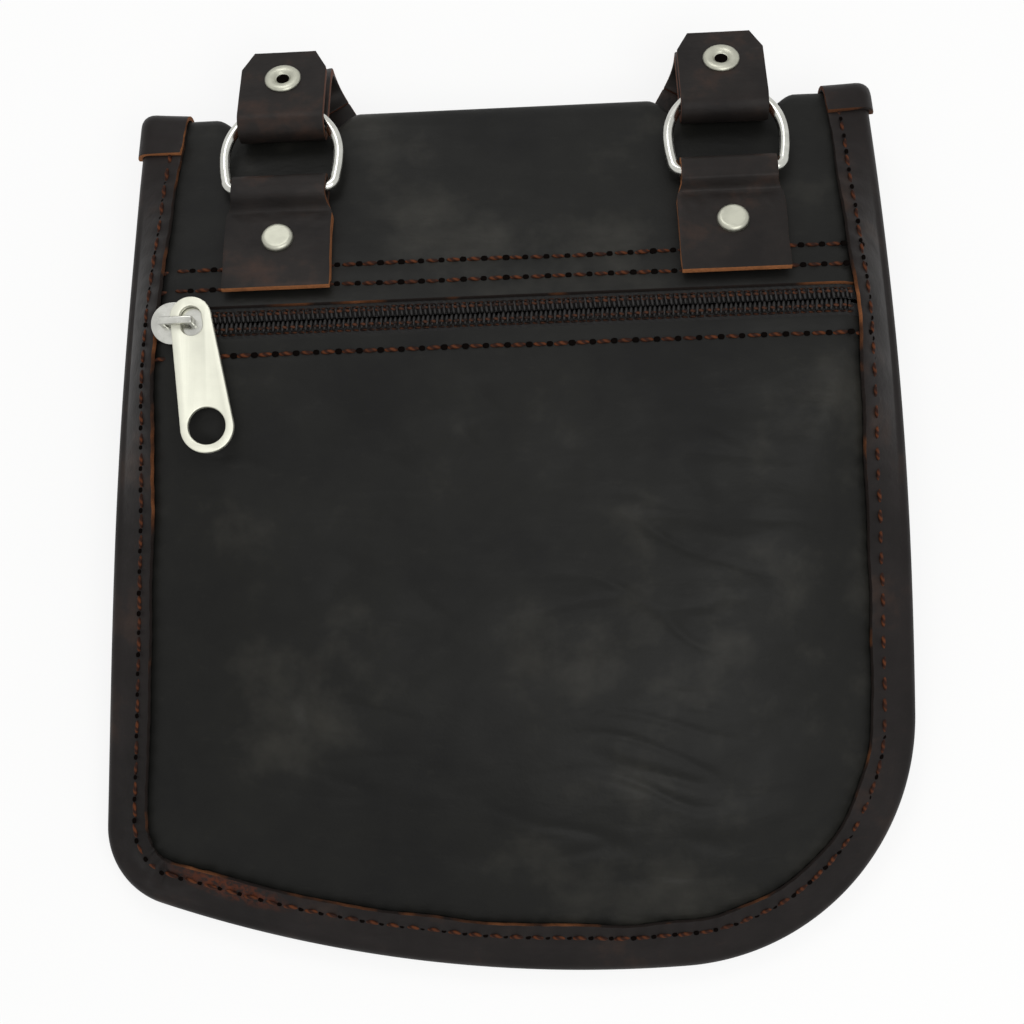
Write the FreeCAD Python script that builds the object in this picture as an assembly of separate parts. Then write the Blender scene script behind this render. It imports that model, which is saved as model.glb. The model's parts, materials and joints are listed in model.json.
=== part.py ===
"""Small soft leather zip pouch with a press-studded carrying handle. Millimetres.

The pouch lies zip face up: +Z up, +Y towards its folded top edge, +X along the zip.
Pouch pieces are built flat on z = 0 and then tilted, because the handle under the
back holds the top edge up; the handle itself is built in place on the ground.
"""
import FreeCAD
import Part
import math
import os

V = FreeCAD.Vector
os.makedirs("parts", exist_ok=True)

# --- pouch ---
LENGTH_TO_FOLD = 212.5        # bottom edge to where the top fold starts
TOP_HALF = 93.5               # half width at the top edge
WIDEST_HALF = 102.0           # half of the widest part
WIDEST_Y = 85.0
HANG = 4.0                    # worn out of square: the bottom hangs this far to the left
BOTTOM_SAG = 24.0             # bow of the bottom edge, left corner to lowest point
BOTTOM_RISE = 8.0             # the same at the right
LOWEST_X = -8.0
CORNER_LEFT = 20.0
CORNER_RIGHT = 62.0
LEATHER = 1.2                 # panel leather
BINDING_T = 1.1               # binding leather
BINDING_W = 11.5
SEAM_ROOM = 3.0               # panel edges inside the folded binding
FOLD_ROOM = 6.4               # the same at the top corners, over the rolled fold
FIT = 0.15                    # clearance between stacked sheets
BINDING_FIT = 0.55            # clearance between the panels and the binding
EDGE_FLAT = 3.0               # flat rim inside the binding before the dome starts
DOME_LOW = 60.0               # how far in the dome rises, low on the pouch
DOME_ZIP = 14.0               # the same beside the zip, where the sides are steep
CREST_LOW = 23.0              # height of the front near the bottom
CREST_ZIP = 27.5              # height of the front at the zip
CREST_FOLD = 10.8             # height of the top fold
SEAM_LIFT = 8.0               # how far the side seams rise off the ground
SEAM_LIFT_Y = 140.0
# --- zip ---
ZIP_Y = LENGTH_TO_FOLD - 51.5
ZIP_GAP = 4.2                 # leather lip to zip centre
ZIP_HALF = TOP_HALF - 9.5
TAPE = 0.6
TAPE_W = 13.0
CHAIN_SLIT = 0.5              # half the slot that the slider wedge runs in
COIL_W = 2.6
COIL_H = 1.8
# --- slider and puller ---
SLIDER_X = 3.5 - ZIP_HALF      # closed, at the left end
SLIDER_L = 13.6
SLIDER_W = 10.6
SLIDER_T = 1.2
SLIDER_GAP = 0.3
WEDGE = 0.5
LOWER_L = 6.0
BRIDGE_L = 8.4
BRIDGE_W = 1.9
BRIDGE_T = 1.3
PULL_T = 1.5
PULL_GAP = 0.3
PULL_L = 33.0                 # eye centre to the free end
PULL_TOP_W = 10.2
PULL_END_W = 13.8
EYE_R = 2.7
EYE_LONG = 2.0
PULL_END_R = 6.3              # its corners, nearly a full round
PULL_HOLE_R = 4.6
PULL_HOLE_Y = 26.4            # eye centre to hole centre
PULL_LEAN = 8.0
# --- tabs, rings and rivets ---
TAB_X = TOP_HALF - 37.0
STRAP_W = 22.0
RING_SIDE = 3.6               # strap's edge to the middle of the ring's wire
RING_WIDE = STRAP_W / 2 + RING_SIDE
BAR_HALF = RING_WIDE - 0.7
TAB_W = 2 * BAR_HALF - 1.3
TAB_T = 1.6
TAB_START_Y = ZIP_Y + 7.0
BAR_Y = LENGTH_TO_FOLD - 16.5
WIRE_R = 1.4
RING_CORNER = 2.6
RING_ROUND_Y = 9.5
RING_RAISE = 6.0              # ring angle above the strip it lies on
BORE_FIT = 0.3
NOTCH = 1.3                   # fold cut back at each end for the ring legs
RIVET_Y = TAB_START_Y + 13.5
RIVET_R = 4.0
RIVET_CAP_T = 1.4
POST_R = 1.2
# --- handle ---
STRAP_T = 2.0
LOOP_FIT = 1.2                # round the ring wire inside the strap's loop
TAIL_DROP = 22.0              # tails slope down from the rings
TAIL_L = 21.5
TAIL_CLIP = 6.0
LEG_L = 17.0
TURN = 30.0                   # plan angle of the returning leg
LEG_LOW_L = 30.0
LOOP_R = 4.75                 # soft fold under the pouch
SNAP_Y = 11.5
SNAP_R = 4.7
SNAP_CAP_R = 4.5
SOCKET_R = 4.4
STUD_R = 1.5
STUD_FIT = 0.5


# ---------------------------------------------------------------- helpers
def sheet(outer, inner):
    """Closed solid between two surfaces through grids of points."""
    faces, edges = [], []
    for grid in (outer, inner):
        surf = Part.BSplineSurface()
        surf.interpolate(grid)
        faces.append(surf.toShape())
        u0, u1, v0, v1 = surf.bounds()
        edges.append([surf.uIso(u0), surf.uIso(u1), surf.vIso(v0), surf.vIso(v1)])
    for a, b in zip(*edges):
        faces.append(Part.makeRuledSurface(a.toShape(), b.toShape()))
    shell = Part.makeShell(faces)
    shell.sewShape()
    solid = Part.makeSolid(shell)
    if solid.Volume < 0:
        solid.reverse()
    return solid


def band(outer, inner):
    """Closed solid through sections that each run out along one row and back."""
    def curve(pts):
        line = Part.BSplineCurve()
        line.interpolate(pts)
        return line.toShape()
    wires = [Part.Wire([curve(a), Part.LineSegment(a[-1], b[-1]).toShape(), curve(b[::-1]),
                        Part.LineSegment(b[0], a[0]).toShape()]) for a, b in zip(outer, inner)]
    return Part.makeLoft(wires, True, True)


def spread(a, b, n, ends=0.0):
    """n values from a to b, closer together at both ends as ends nears 1."""
    out = []
    for i in range(n):
        t = i / (n - 1)
        out.append(a + (b - a) * ((1 - ends) * t + ends * (1 - math.cos(math.pi * t)) / 2))
    return out


def outline_wire():
    """Plan outline: open-ended upwards past the top fold."""
    top = LENGTH_TO_FOLD + 30
    ends = {-1: V(-WIDEST_HALF - HANG, BOTTOM_SAG, 0), 1: V(WIDEST_HALF - 1.7 * HANG,
                                                            BOTTOM_RISE, 0)}
    side = lambda s: Part.Arc(V(s * (TOP_HALF - 1), top, 0),
                              V(s * WIDEST_HALF - HANG * (0.3 if s < 0 else 1), WIDEST_Y, 0),
                              ends[s]).toShape()
    low = Part.Arc(ends[-1], V(LOWEST_X, 1, 0), ends[1]).toShape()
    lid = Part.LineSegment(V(-TOP_HALF + 1, top, 0), V(TOP_HALF - 1, top, 0)).toShape()
    block = Part.Face(Part.Wire(Part.__sortEdges__([side(-1), low, side(1), lid])))
    block = block.extrude(V(0, 0, 10))
    for s, r in ((-1, CORNER_LEFT), (1, CORNER_RIGHT)):
        corner = [e for e in block.Edges if abs(e.Vertexes[0].X - ends[s].x) < 0.01
                  and abs(e.Vertexes[0].Y - ends[s].y) < 0.01
                  and abs(e.Vertexes[-1].Z - e.Vertexes[0].Z) > 1]
        block = block.makeFillet(r, corner)
    return [f for f in block.Faces if f.normalAt(0, 0).z < -0.9 and f.BoundBox.ZMax < 1][0]


OUTLINE = outline_wire()


def rim_stations(step):
    """Points and inward normals along the sides and bottom, left top to right top."""
    wire = OUTLINE.OuterWire
    pts = [p for p in wire.discretize(Distance=1.0)]
    start = min(range(len(pts)), key=lambda i: (pts[i] - V(-TOP_HALF + 1,
                LENGTH_TO_FOLD + 30, 0)).Length)
    pts = pts[start:] + pts[:start]
    if pts[5].y > LENGTH_TO_FOLD + 29:
        pts = [pts[0]] + pts[:0:-1]
    pts = [p for i, p in enumerate(pts) if p.y < LENGTH_TO_FOLD + 28
           and (i == 0 or (p - pts[i - 1]).Length > 0.3)]
    out = []
    n = max(2, int(len(pts) / step))
    for k in range(n + 1):
        i = min(len(pts) - 1, int(round(k * (len(pts) - 1) / n)))
        a, b = pts[max(0, i - 2)], pts[min(len(pts) - 1, i + 2)]
        t = (b - a).normalize()
        out.append((pts[i], V(-t.y, t.x, 0)))
    return out


RIM = list(dict.fromkeys((p.x, p.y) for p, _ in rim_stations(1)))


def inset(x, y):
    """Smooth distance in from the sides and bottom; zero outside the outline."""
    best, side = 1e9, 1
    total = 0.0
    for i, (a, b) in enumerate(RIM):
        d2 = (a - x) ** 2 + (b - y) ** 2
        total += 1.0 / (d2 * d2 + 1e-6)
        if d2 < best:
            best = d2
            j = min(i, len(RIM) - 2)
            (c, d), (e, f) = RIM[j], RIM[j + 1]
            side = (e - c) * (y - d) - (f - d) * (x - c)
    if side <= 0:
        return 0.0
    smooth = (math.pi / 2 / total) ** (1 / 3)
    near = math.sqrt(best)
    return near if near < 3 else near + (smooth - near) * min(1, (near - 3) / 3)


def seam(y):
    """Middle height of the side and bottom seam."""
    return (BINDING_T + SEAM_ROOM / 2
            + SEAM_LIFT * math.sin(math.pi * max(0, y) / 2 / SEAM_LIFT_Y) ** 2)


def room(y):
    """Height of the channel in the binding."""
    t = min(1, max(0, (y - ZIP_Y - 12) / (LENGTH_TO_FOLD - ZIP_Y - 18)))
    return SEAM_ROOM + (FOLD_ROOM - SEAM_ROOM) * t * t * (3 - 2 * t)


def dome(x, y):
    """0 at the seam to 1 in the middle of the pouch."""
    t = min(1, max(0, (y - 70) / (ZIP_Y - ZIP_GAP - 75)))
    reach = DOME_LOW + (DOME_ZIP - DOME_LOW) * t * t * (3 - 2 * t)
    d = max(0, inset(x, y) - EDGE_FLAT)
    return 1 - (1 - min(1, d / reach)) ** 2


FALL = (CREST_ZIP - CREST_FOLD) / (LENGTH_TO_FOLD - ZIP_Y - ZIP_GAP)
SLOPE = math.atan(FALL)


def crest(y):
    """Height of the front along the middle."""
    lip = ZIP_Y - ZIP_GAP
    if y < lip:
        return CREST_LOW + (CREST_ZIP - CREST_LOW) * max(0, y) / lip
    return CREST_ZIP - FALL * max(0, y - ZIP_Y - ZIP_GAP)


def top(x, y):
    rim = seam(y) + room(y) / 2
    return rim + (crest(y) - rim) * dome(x, y)


def under(x, y):
    rim = seam(y) - room(y) / 2
    return rim + (BINDING_T - rim) * dome(x, y)


def trimmed(shape, back):
    """Cut a panel to the outline, set back inside the binding."""
    pts = [p + n * back for p, n in rim_stations(5)]
    curve = Part.BSplineCurve()
    curve.interpolate(pts)
    wire = Part.Wire([curve.toShape(), Part.LineSegment(pts[-1], pts[0]).toShape()])
    return shape.common(Part.Face(wire).extrude(V(0, 0, 80)))


def one(shape):
    return max(shape.Solids, key=lambda s: s.Volume)


# ---------------------------------------------------------------- pouch
def wrap_panel():
    """Back, top fold and strip above the zip, cut from one piece."""
    outer, inner = [], []
    for x in spread(-WIDEST_HALF - HANG - 3, WIDEST_HALF + 3, 45, 0.9):
        tip = top(x, LENGTH_TO_FOLD)
        phi = math.atan((top(x, LENGTH_TO_FOLD - 2) - tip) / 2)
        r = (tip - under(x, LENGTH_TO_FOLD)) / (1 + math.cos(phi))
        yc, zc = LENGTH_TO_FOLD - r * math.sin(phi), under(x, LENGTH_TO_FOLD) + r
        row, low = [], []
        for y in spread(ZIP_Y + ZIP_GAP, LENGTH_TO_FOLD, 18, 0.85):
            row.append(V(x, y, top(x, y)))
            low.append(V(x, y, top(x, y) - LEATHER / math.cos(phi)))
        for a in spread(math.pi / 2 - phi, -math.pi / 2, 12)[1:]:
            row.append(V(x, yc + r * math.cos(a), zc + r * math.sin(a)))
            r_in = r - LEATHER
            low.append(V(x, yc + r_in * math.cos(a), zc + r_in * math.sin(a)))
        for y in spread(yc, -4, 44, 0.9)[1:]:
            row.append(V(x, y, under(x, y)))
            low.append(V(x, y, under(x, y) + LEATHER))
        outer.append(row)
        inner.append(low)
    return one(trimmed(band(outer, inner), EDGE_FLAT))


def front_panel():
    outer, inner = [], []
    for x in spread(-WIDEST_HALF - HANG - 3, WIDEST_HALF + 3, 45, 0.9):
        ys = spread(-4, ZIP_Y - ZIP_GAP, 40, 0.5)
        outer.append([V(x, y, top(x, y)) for y in ys])
        inner.append([V(x, y, top(x, y) - LEATHER) for y in ys])
    return one(trimmed(sheet(outer, inner), EDGE_FLAT))


def edge_binding():
    """Folded strip that holds both panel edges round the sides and bottom."""
    outer, inner = [], []
    for p, n in rim_stations(6):
        if p.y > LENGTH_TO_FOLD + 4.5:
            continue
        row, low = [], []
        mid, round_r = seam(p.y), room(p.y) / 2 + BINDING_T
        steps = spread(BINDING_W, EDGE_FLAT, 6)
        for d in steps:
            q, r = p + n * d, p + n * (d + 1)
            steep = math.hypot(1, top(r.x, r.y) - top(q.x, q.y))
            row.append(V(q.x, q.y, top(q.x, q.y) + (BINDING_FIT + BINDING_T) * steep))
            low.append(V(q.x, q.y, top(q.x, q.y) + BINDING_FIT * steep))
        for a in spread(math.pi / 2, -math.pi / 2, 9)[1:-1]:
            for grid, r in ((row, round_r + BINDING_FIT), (low, round_r + BINDING_FIT - BINDING_T)):
                q = p + n * (EDGE_FLAT - math.cos(a) * (EDGE_FLAT if r > round_r
                                                        else EDGE_FLAT - BINDING_T))
                grid.append(V(q.x, q.y, mid + r * math.sin(a)))
        for d in reversed(steps):
            q, r = p + n * d, p + n * (d + 1)
            steep = math.hypot(1, under(r.x, r.y) - under(q.x, q.y))
            row.append(V(q.x, q.y, under(q.x, q.y) - (BINDING_FIT + BINDING_T) * steep))
            low.append(V(q.x, q.y, under(q.x, q.y) - BINDING_FIT * steep))
        outer.append(row)
        inner.append(low)
    return sheet(outer, inner)


def chain_z():
    return CREST_ZIP - LEATHER - 2 * FIT


def zip_tape(side):
    ys = (spread(ZIP_Y + CHAIN_SLIT + 0.2, ZIP_Y + TAPE_W, 8) if side > 0
          else spread(ZIP_Y - TAPE_W, ZIP_Y - CHAIN_SLIT - 0.2, 8))
    outer, inner = [], []
    for x in spread(-ZIP_HALF + 4, ZIP_HALF - 1.5, 25, 0.5):
        low = CREST_ZIP - top(x, ZIP_Y)
        zs = [min(chain_z() - low, top(x, y) - LEATHER / math.cos(SLOPE) - 2 * FIT) for y in ys]
        outer.append([V(x, y, z) for y, z in zip(ys, zs)])
        inner.append([V(x, y, z - TAPE) for y, z in zip(ys, zs)])
    return sheet(outer, inner)


def zip_coil(side):
    y0 = ZIP_Y + CHAIN_SLIT if side > 0 else ZIP_Y - CHAIN_SLIT - COIL_W
    outer, inner = [], []
    for x in spread(-ZIP_HALF + 8, ZIP_HALF - 2.5, 25, 0.5):
        z = chain_z() - CREST_ZIP + top(x, ZIP_Y) + 0.05
        ys = spread(y0, y0 + COIL_W, 4)
        outer.append([V(x, y, z + COIL_H) for y in ys])
        inner.append([V(x, y, z) for y in ys])
    return sheet(outer, inner)


# ---------------------------------------------------------------- slider and puller
def slider_top_z():
    return chain_z() + 0.05 + COIL_H + SLIDER_GAP


def slider_body():
    z = slider_top_z()
    w = SLIDER_W / 2
    nose = Part.makeCylinder(w, SLIDER_T, V(SLIDER_X - SLIDER_L / 2 + w, ZIP_Y, z))
    plate = Part.makeBox(SLIDER_L - w, SLIDER_W, SLIDER_T,
                         V(SLIDER_X - SLIDER_L / 2 + w, ZIP_Y - w, z))
    low_z = chain_z() - TAPE - 2 * SLIDER_GAP - SLIDER_T
    end = SLIDER_X + SLIDER_L / 2
    lower = Part.makeBox(LOWER_L, SLIDER_W - 4, SLIDER_T,
                         V(end - LOWER_L, ZIP_Y - w + 2, low_z))
    wedge = Part.makeBox(2.4, WEDGE, z - low_z, V(end - LOWER_L, ZIP_Y - WEDGE / 2, low_z))
    body = plate.fuse([nose, lower, wedge]).removeSplitter()
    return body.makeFillet(0.3, [e for e in body.Edges if e.BoundBox.ZMin > z + SLIDER_T - 0.01])


def pull_z():
    return slider_top_z() + SLIDER_T + PULL_GAP


def post_x():
    return SLIDER_X + BRIDGE_L / 2 - BRIDGE_T / 2


def slider_bridge():
    """Staple along the slider; its right post stands in the puller's eye."""
    z = slider_top_z() + SLIDER_T
    rise = PULL_T + 2 * PULL_GAP + 0.3
    x0 = SLIDER_X - BRIDGE_L / 2
    solid = Part.makeBox(BRIDGE_L, BRIDGE_W, rise + BRIDGE_T, V(x0, ZIP_Y - BRIDGE_W / 2, z))
    gap = Part.makeBox(BRIDGE_L - 2 * BRIDGE_T, BRIDGE_W + 2, rise + 1,
                       V(x0 + BRIDGE_T, ZIP_Y - BRIDGE_W / 2 - 1, z - 1))
    solid = solid.cut(gap)
    return solid.makeFillet(0.5, [e for e in solid.Edges
                                  if e.BoundBox.ZMin > z + rise + BRIDGE_T - 0.01])


def slot(r, half, h, x, y, z):
    """Round-ended slot along Y."""
    a = Part.makeCylinder(r, h, V(x, y - half, z))
    b = Part.makeCylinder(r, h, V(x, y + half, z))
    return a.fuse([b, Part.makeBox(2 * r, 2 * half, h, V(x - r, y - half, z))])


def puller():
    z, w, e = pull_z(), PULL_TOP_W / 2, PULL_END_W / 2
    neck = EYE_LONG - 1.0
    pts = [V(-w, neck, z), V(-w, 0, z), V(-e, -PULL_L, z), V(e, -PULL_L, z), V(w, 0, z),
           V(w, neck, z)]
    crown = Part.Arc(pts[-1], V(0, neck + w, z), pts[0]).toShape()
    outline = Part.Wire(Part.makePolygon(pts).Edges + [crown])
    plate = Part.Face(outline).extrude(V(0, 0, PULL_T))
    corners = [g for g in plate.Edges if g.BoundBox.YMax < -PULL_L + 0.01
               and g.BoundBox.ZMax - g.BoundBox.ZMin > 0.5]
    plate = plate.makeFillet(PULL_END_R, corners)
    plate = plate.cut(slot(EYE_R, EYE_LONG / 2, PULL_T + 2, 0, 0, z - 1))
    plate = plate.cut(Part.makeCylinder(PULL_HOLE_R, PULL_T + 2, V(0, -PULL_HOLE_Y, z - 1)))
    plate.rotate(V(0, 0, 0), V(0, 0, 1), PULL_LEAN)
    plate.translate(V(post_x(), ZIP_Y, 0))
    return plate


# ---------------------------------------------------------------- tabs, rings, rivets
def on_strip(y, lift):
    """Point on the middle of the upper strip, lifted off along its normal."""
    return V(0, y + lift * math.sin(SLOPE), crest(y) + lift * math.cos(SLOPE))


FOLD_R = WIRE_R + BORE_FIT + TAB_T
BAR_LIFT = FOLD_R + FIT


def along_strip(shape, x, y, lift=0.0):
    """Stand a shape built on +Y, +Z onto the sloping strip."""
    shape.rotate(V(0, 0, 0), V(1, 0, 0), -math.degrees(SLOPE))
    at = on_strip(y, lift)
    shape.translate(V(x, at.y, at.z))
    return shape


def tab(x):
    """Leather folded round the ring bar, both ends under the rivet."""
    run = (BAR_Y - TAB_START_Y) / math.cos(SLOPE)
    thick = 2 * TAB_T
    half = TAB_W / 2
    leaf = Part.makeBox(TAB_W, run - 2 * FOLD_R, thick, V(-half, -run, FIT))
    top_z = BAR_LIFT + FOLD_R
    pts = [V(-half, -2 * FOLD_R - 0.5, FIT), V(-half, 0, FIT), V(-half, 0, top_z),
           V(-half, -1.0, top_z), V(-half, -2 * FOLD_R - 0.5, FIT + thick)]
    hood = Part.Face(Part.makePolygon(pts + pts[:1])).extrude(V(TAB_W, 0, 0))
    roll = Part.makeCylinder(FOLD_R, TAB_W, V(-half, 0, BAR_LIFT), V(1, 0, 0))
    body = leaf.fuse([hood, roll]).removeSplitter()
    body = body.cut(Part.makeCylinder(WIRE_R + BORE_FIT, TAB_W + 2,
                                      V(-half - 1, 0, BAR_LIFT), V(1, 0, 0)))
    for s in (-1, 1):
        cut = Part.makeBox(NOTCH + 1, 2 * FOLD_R + 1, 3 * FOLD_R,
                           V(s * half - (NOTCH if s > 0 else 1), -FOLD_R - 0.4, 0))
        body = body.cut(cut)
    body = body.cut(Part.makeCylinder(POST_R, 20, V(0, -(BAR_Y - RIVET_Y) / math.cos(SLOPE),
                                                    -5)))
    return one(along_strip(body, x, BAR_Y))


def rivet_cap(x):
    base = FIT + 2 * TAB_T
    cap = Part.makeCylinder(RIVET_R, RIVET_CAP_T, V(0, 0, base))
    cap = cap.makeFillet(RIVET_CAP_T * 0.8, [e for e in cap.Edges
                                             if e.BoundBox.ZMin > base + RIVET_CAP_T - 0.01])
    return along_strip(cap, x, RIVET_Y)


def rivet_post(x):
    """Post through tab and strip with its flat head inside the pouch."""
    head = -LEATHER - 1.0
    post = Part.makeCylinder(POST_R - 0.05, FIT + 2 * TAB_T - head, V(0, 0, head))
    disc = Part.makeCylinder(RIVET_R - 0.5, 0.95, V(0, 0, head))
    return along_strip(post.fuse(disc).removeSplitter(), x, RIVET_Y)


def ring(x):
    """Wire D-ring: straight bar in the tab, round bow beyond it."""
    def bend(cx, cy, r, a0, a1):
        a = math.radians(a0)
        disc = Part.Face(Part.Wire(Part.makeCircle(WIRE_R, V(cx + r * math.cos(a),
                         cy + r * math.sin(a), 0), V(-math.sin(a), math.cos(a), 0))))
        return disc.revolve(V(cx, cy, 0), V(0, 0, 1), a1 - a0)
    straight = BAR_HALF - RING_CORNER
    pieces = [Part.makeCylinder(WIRE_R, 2 * straight, V(-straight, 0, 0), V(1, 0, 0))]
    pieces.append(bend(0, RING_ROUND_Y, RING_WIDE, 0, 180))
    rise, out = RING_ROUND_Y - RING_CORNER, RING_WIDE - BAR_HALF
    r_leg = (rise ** 2 + out ** 2) / (2 * out)
    lean = math.degrees(math.asin(rise / r_leg))
    corner = 90 - lean
    cy = RING_CORNER
    for s in (-1, 1):
        if s > 0:
            pieces.append(bend(RING_WIDE - r_leg, RING_ROUND_Y, r_leg, -lean, 0))
            pieces.append(Part.makeSphere(WIRE_R, V(BAR_HALF, cy, 0)))
            pieces.append(bend(straight, cy, RING_CORNER, -90, 0))
        else:
            pieces.append(bend(-RING_WIDE + r_leg, RING_ROUND_Y, r_leg, 180, 180 + lean))
            pieces.append(Part.makeSphere(WIRE_R, V(-BAR_HALF, cy, 0)))
            pieces.append(bend(-straight, cy, RING_CORNER, 180, 270))
    body = pieces[0].fuse(pieces[1:])
    body.rotate(V(0, 0, 0), V(1, 0, 0), RING_RAISE)
    return one(along_strip(body, x, BAR_Y, BAR_LIFT))


# ---------------------------------------------------------------- handle
LOOP_TOP = STRAP_T + 2 * LOOP_R          # top of the soft folds that carry the pouch
STRAP_IN = WIRE_R + LOOP_FIT             # half the gap between leg and tail
BEND_IN = STRAP_IN + STRAP_T / 2         # loop centre to the strap's middle


def pouch_tilt():
    """Tilt that lays the back on the bridge of the handle."""
    edge = bridge_y(0.05) - STRAP_W / 2
    return math.degrees(math.asin((LOOP_TOP + FIT - BINDING_T) / edge))


def bow_centre(tilt):
    """Where the strap's loop sits: the bow is as wide as the strap there."""
    bar = on_strip(BAR_Y, BAR_LIFT)
    a = math.radians(RING_RAISE) - SLOPE
    reach = RING_ROUND_Y + math.sqrt(RING_WIDE ** 2 - (STRAP_W / 2) ** 2)
    y, z = bar.y + reach * math.cos(a), bar.z + reach * math.sin(a)
    return V(0, y * math.cos(tilt) - z * math.sin(tilt), y * math.sin(tilt) + z * math.cos(tilt))


def leg_end(tilt):
    """Middle of the strap where the upper leg meets the arch."""
    drop = math.radians(-TAIL_DROP)
    bow = bow_centre(tilt)
    return bow + V(0, LEG_L * math.cos(drop) + BEND_IN * math.sin(drop),
                   LEG_L * math.sin(drop) - BEND_IN * math.cos(drop))


def arch_path(tilt, n=18):
    """Middle line of the left arch with width and inner-normal directions."""
    p = leg_end(tilt)
    x, y, z = -TAB_X, p.y, p.z
    start, stop = math.radians(-TAIL_DROP), math.radians(-180)
    radius = (z - STRAP_T / 2) / (math.cos(start) + 1)
    rows = []
    fine = 12 * n
    ds = radius * (start - stop) / fine
    for i in range(fine + 1):
        t = i / fine
        th = start + (stop - start) * t
        al = math.radians(TURN) * t * t * (3 - 2 * t)
        h = V(-math.sin(al), math.cos(al), 0)
        if i % 12 == 0:
            rows.append((V(x, y, z), V(math.cos(al), math.sin(al), 0),
                         h * math.sin(th) + V(0, 0, -math.cos(th))))
        d = h * math.cos(th) + V(0, 0, math.sin(th))
        x, y, z = x + d.x * ds, y + d.y * ds, z + d.z * ds
    return rows


def bridge_y(tilt):
    end = arch_path(tilt)[-1][0]
    turn = math.radians(TURN)
    crease = turn
    adv = math.pi * LOOP_R / math.tan(crease)
    return end.y - LEG_LOW_L * math.cos(turn) - adv * math.sin(crease)


def handle_strap(tilt):
    """One strap: arch, leg on the ground, soft fold, bridge, and the same again."""
    cols = spread(-STRAP_W / 2, STRAP_W / 2, 9)
    outer, inner = [], []
    half = STRAP_T / 2
    path = arch_path(tilt)
    for c, w, n in path:
        outer.append([c + w * t + n * half for t in cols])
        inner.append([c + w * t - n * half for t in cols])
    end, w, _ = path[-1]
    turn = math.radians(TURN)
    d = V(math.sin(turn), -math.cos(turn), 0)
    a = V(math.cos(turn), -math.sin(turn), 0)
    n = V(-math.sin(turn), -math.cos(turn), 0)
    adv = math.pi * LOOP_R / math.tan(turn)
    crease = end + d * LEG_LOW_L
    exit_x = crease.x + adv * a.x
    total = LEG_LOW_L + math.pi * LOOP_R / math.sin(turn) - exit_x
    count = int(total / 2.6)
    for i in range(1, count + 1):
        s = total * i / count
        row, low = [], []
        for t in cols:
            flat = d * (s - LEG_LOW_L) + w * t
            q, along = flat.dot(n), flat.dot(a)
            th = min(math.pi, max(0, q / LOOP_R))
            over = min(0, q) if q < 0 else -max(0, q - math.pi * LOOP_R)
            pos = crease + a * along + n * (LOOP_R * math.sin(th) + over)
            pos = V(pos.x, pos.y, crease.z + LOOP_R * (1 - math.cos(th)))
            norm = n * -math.sin(th) + V(0, 0, math.cos(th))
            row.append(pos + norm * half)
            low.append(pos - norm * half)
        outer.append(row)
        inner.append(low)
    flip = lambda p: V(-p.x, p.y, p.z)
    outer += [[flip(p) for p in row] for row in outer[-2::-1]]
    inner += [[flip(p) for p in row] for row in inner[-2::-1]]
    return sheet(outer, inner)


def at_bow(shape, x, tilt):
    """Place a shape built along +Y from the bow onto the sloping strap end."""
    shape.rotate(V(0, 0, 0), V(1, 0, 0), -TAIL_DROP)
    bow = bow_centre(tilt)
    shape.translate(V(x, bow.y, bow.z))
    return shape


def handle_leg(x, tilt):
    """Strap round the bow and down the underside to the arch."""
    half, r_in = STRAP_W / 2, STRAP_IN
    r_out = r_in + STRAP_T
    roll = Part.makeCylinder(r_out, STRAP_W, V(-half, 0, 0), V(1, 0, 0))
    roll = roll.cut(Part.makeBox(STRAP_W + 2, r_out + 1, 2 * r_out + 2,
                                 V(-half - 1, 0, -r_out - 1)))
    leg = Part.makeBox(STRAP_W, LEG_L - 0.05, STRAP_T, V(-half, 0, -r_out))
    body = roll.fuse(leg).removeSplitter()
    body = body.cut(Part.makeCylinder(r_in, STRAP_W + 2, V(-half - 1, 0, 0), V(1, 0, 0)))
    body = body.cut(Part.makeCylinder(STUD_R, r_out + 2, V(0, SNAP_Y, -r_out - 1)))
    return one(at_bow(body, x, tilt))


def tail(x, tilt):
    """Free end of the strap with clipped corners."""
    half, z = STRAP_W / 2, STRAP_IN
    pts = [V(-half, 0.05, z), V(half, 0.05, z), V(half, TAIL_L - TAIL_CLIP, z),
           V(half - TAIL_CLIP / 2, TAIL_L, z), V(-half + TAIL_CLIP / 2, TAIL_L, z),
           V(-half, TAIL_L - TAIL_CLIP, z)]
    body = Part.Face(Part.makePolygon(pts + pts[:1])).extrude(V(0, 0, STRAP_T))
    body = body.cut(Part.makeCylinder(STUD_R, 20, V(0, SNAP_Y, -10)))
    return at_bow(body, x, tilt)


def snap_cap(x, tilt):
    """Cap under the leg with a post through it."""
    z = -STRAP_IN - STRAP_T
    cap = Part.makeCylinder(SNAP_CAP_R, 1.2, V(0, SNAP_Y, z - 1.2))
    cap = cap.makeFillet(0.8, [e for e in cap.Edges if e.BoundBox.ZMax < z - 1.19])
    post = Part.makeCylinder(STUD_R - 0.1, STRAP_T, V(0, SNAP_Y, z))
    return at_bow(cap.fuse(post).removeSplitter(), x, tilt)


def snap_socket(x, tilt):
    body = Part.makeCylinder(SOCKET_R, STRAP_IN + 0.1, V(0, SNAP_Y, -STRAP_IN))
    bore = Part.makeCylinder(STUD_R + STUD_FIT, STRAP_IN + 1, V(0, SNAP_Y, -STRAP_IN + 0.4))
    return at_bow(body.cut(bore), x, tilt)


def snap_stud(x, tilt):
    flange = Part.makeCylinder(SOCKET_R - 0.6, STRAP_IN - 0.4, V(0, SNAP_Y, 0.4))
    pin = Part.makeCylinder(STUD_R, 1.5, V(0, SNAP_Y, -1.1))
    return at_bow(flange.fuse(pin).removeSplitter(), x, tilt)


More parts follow.
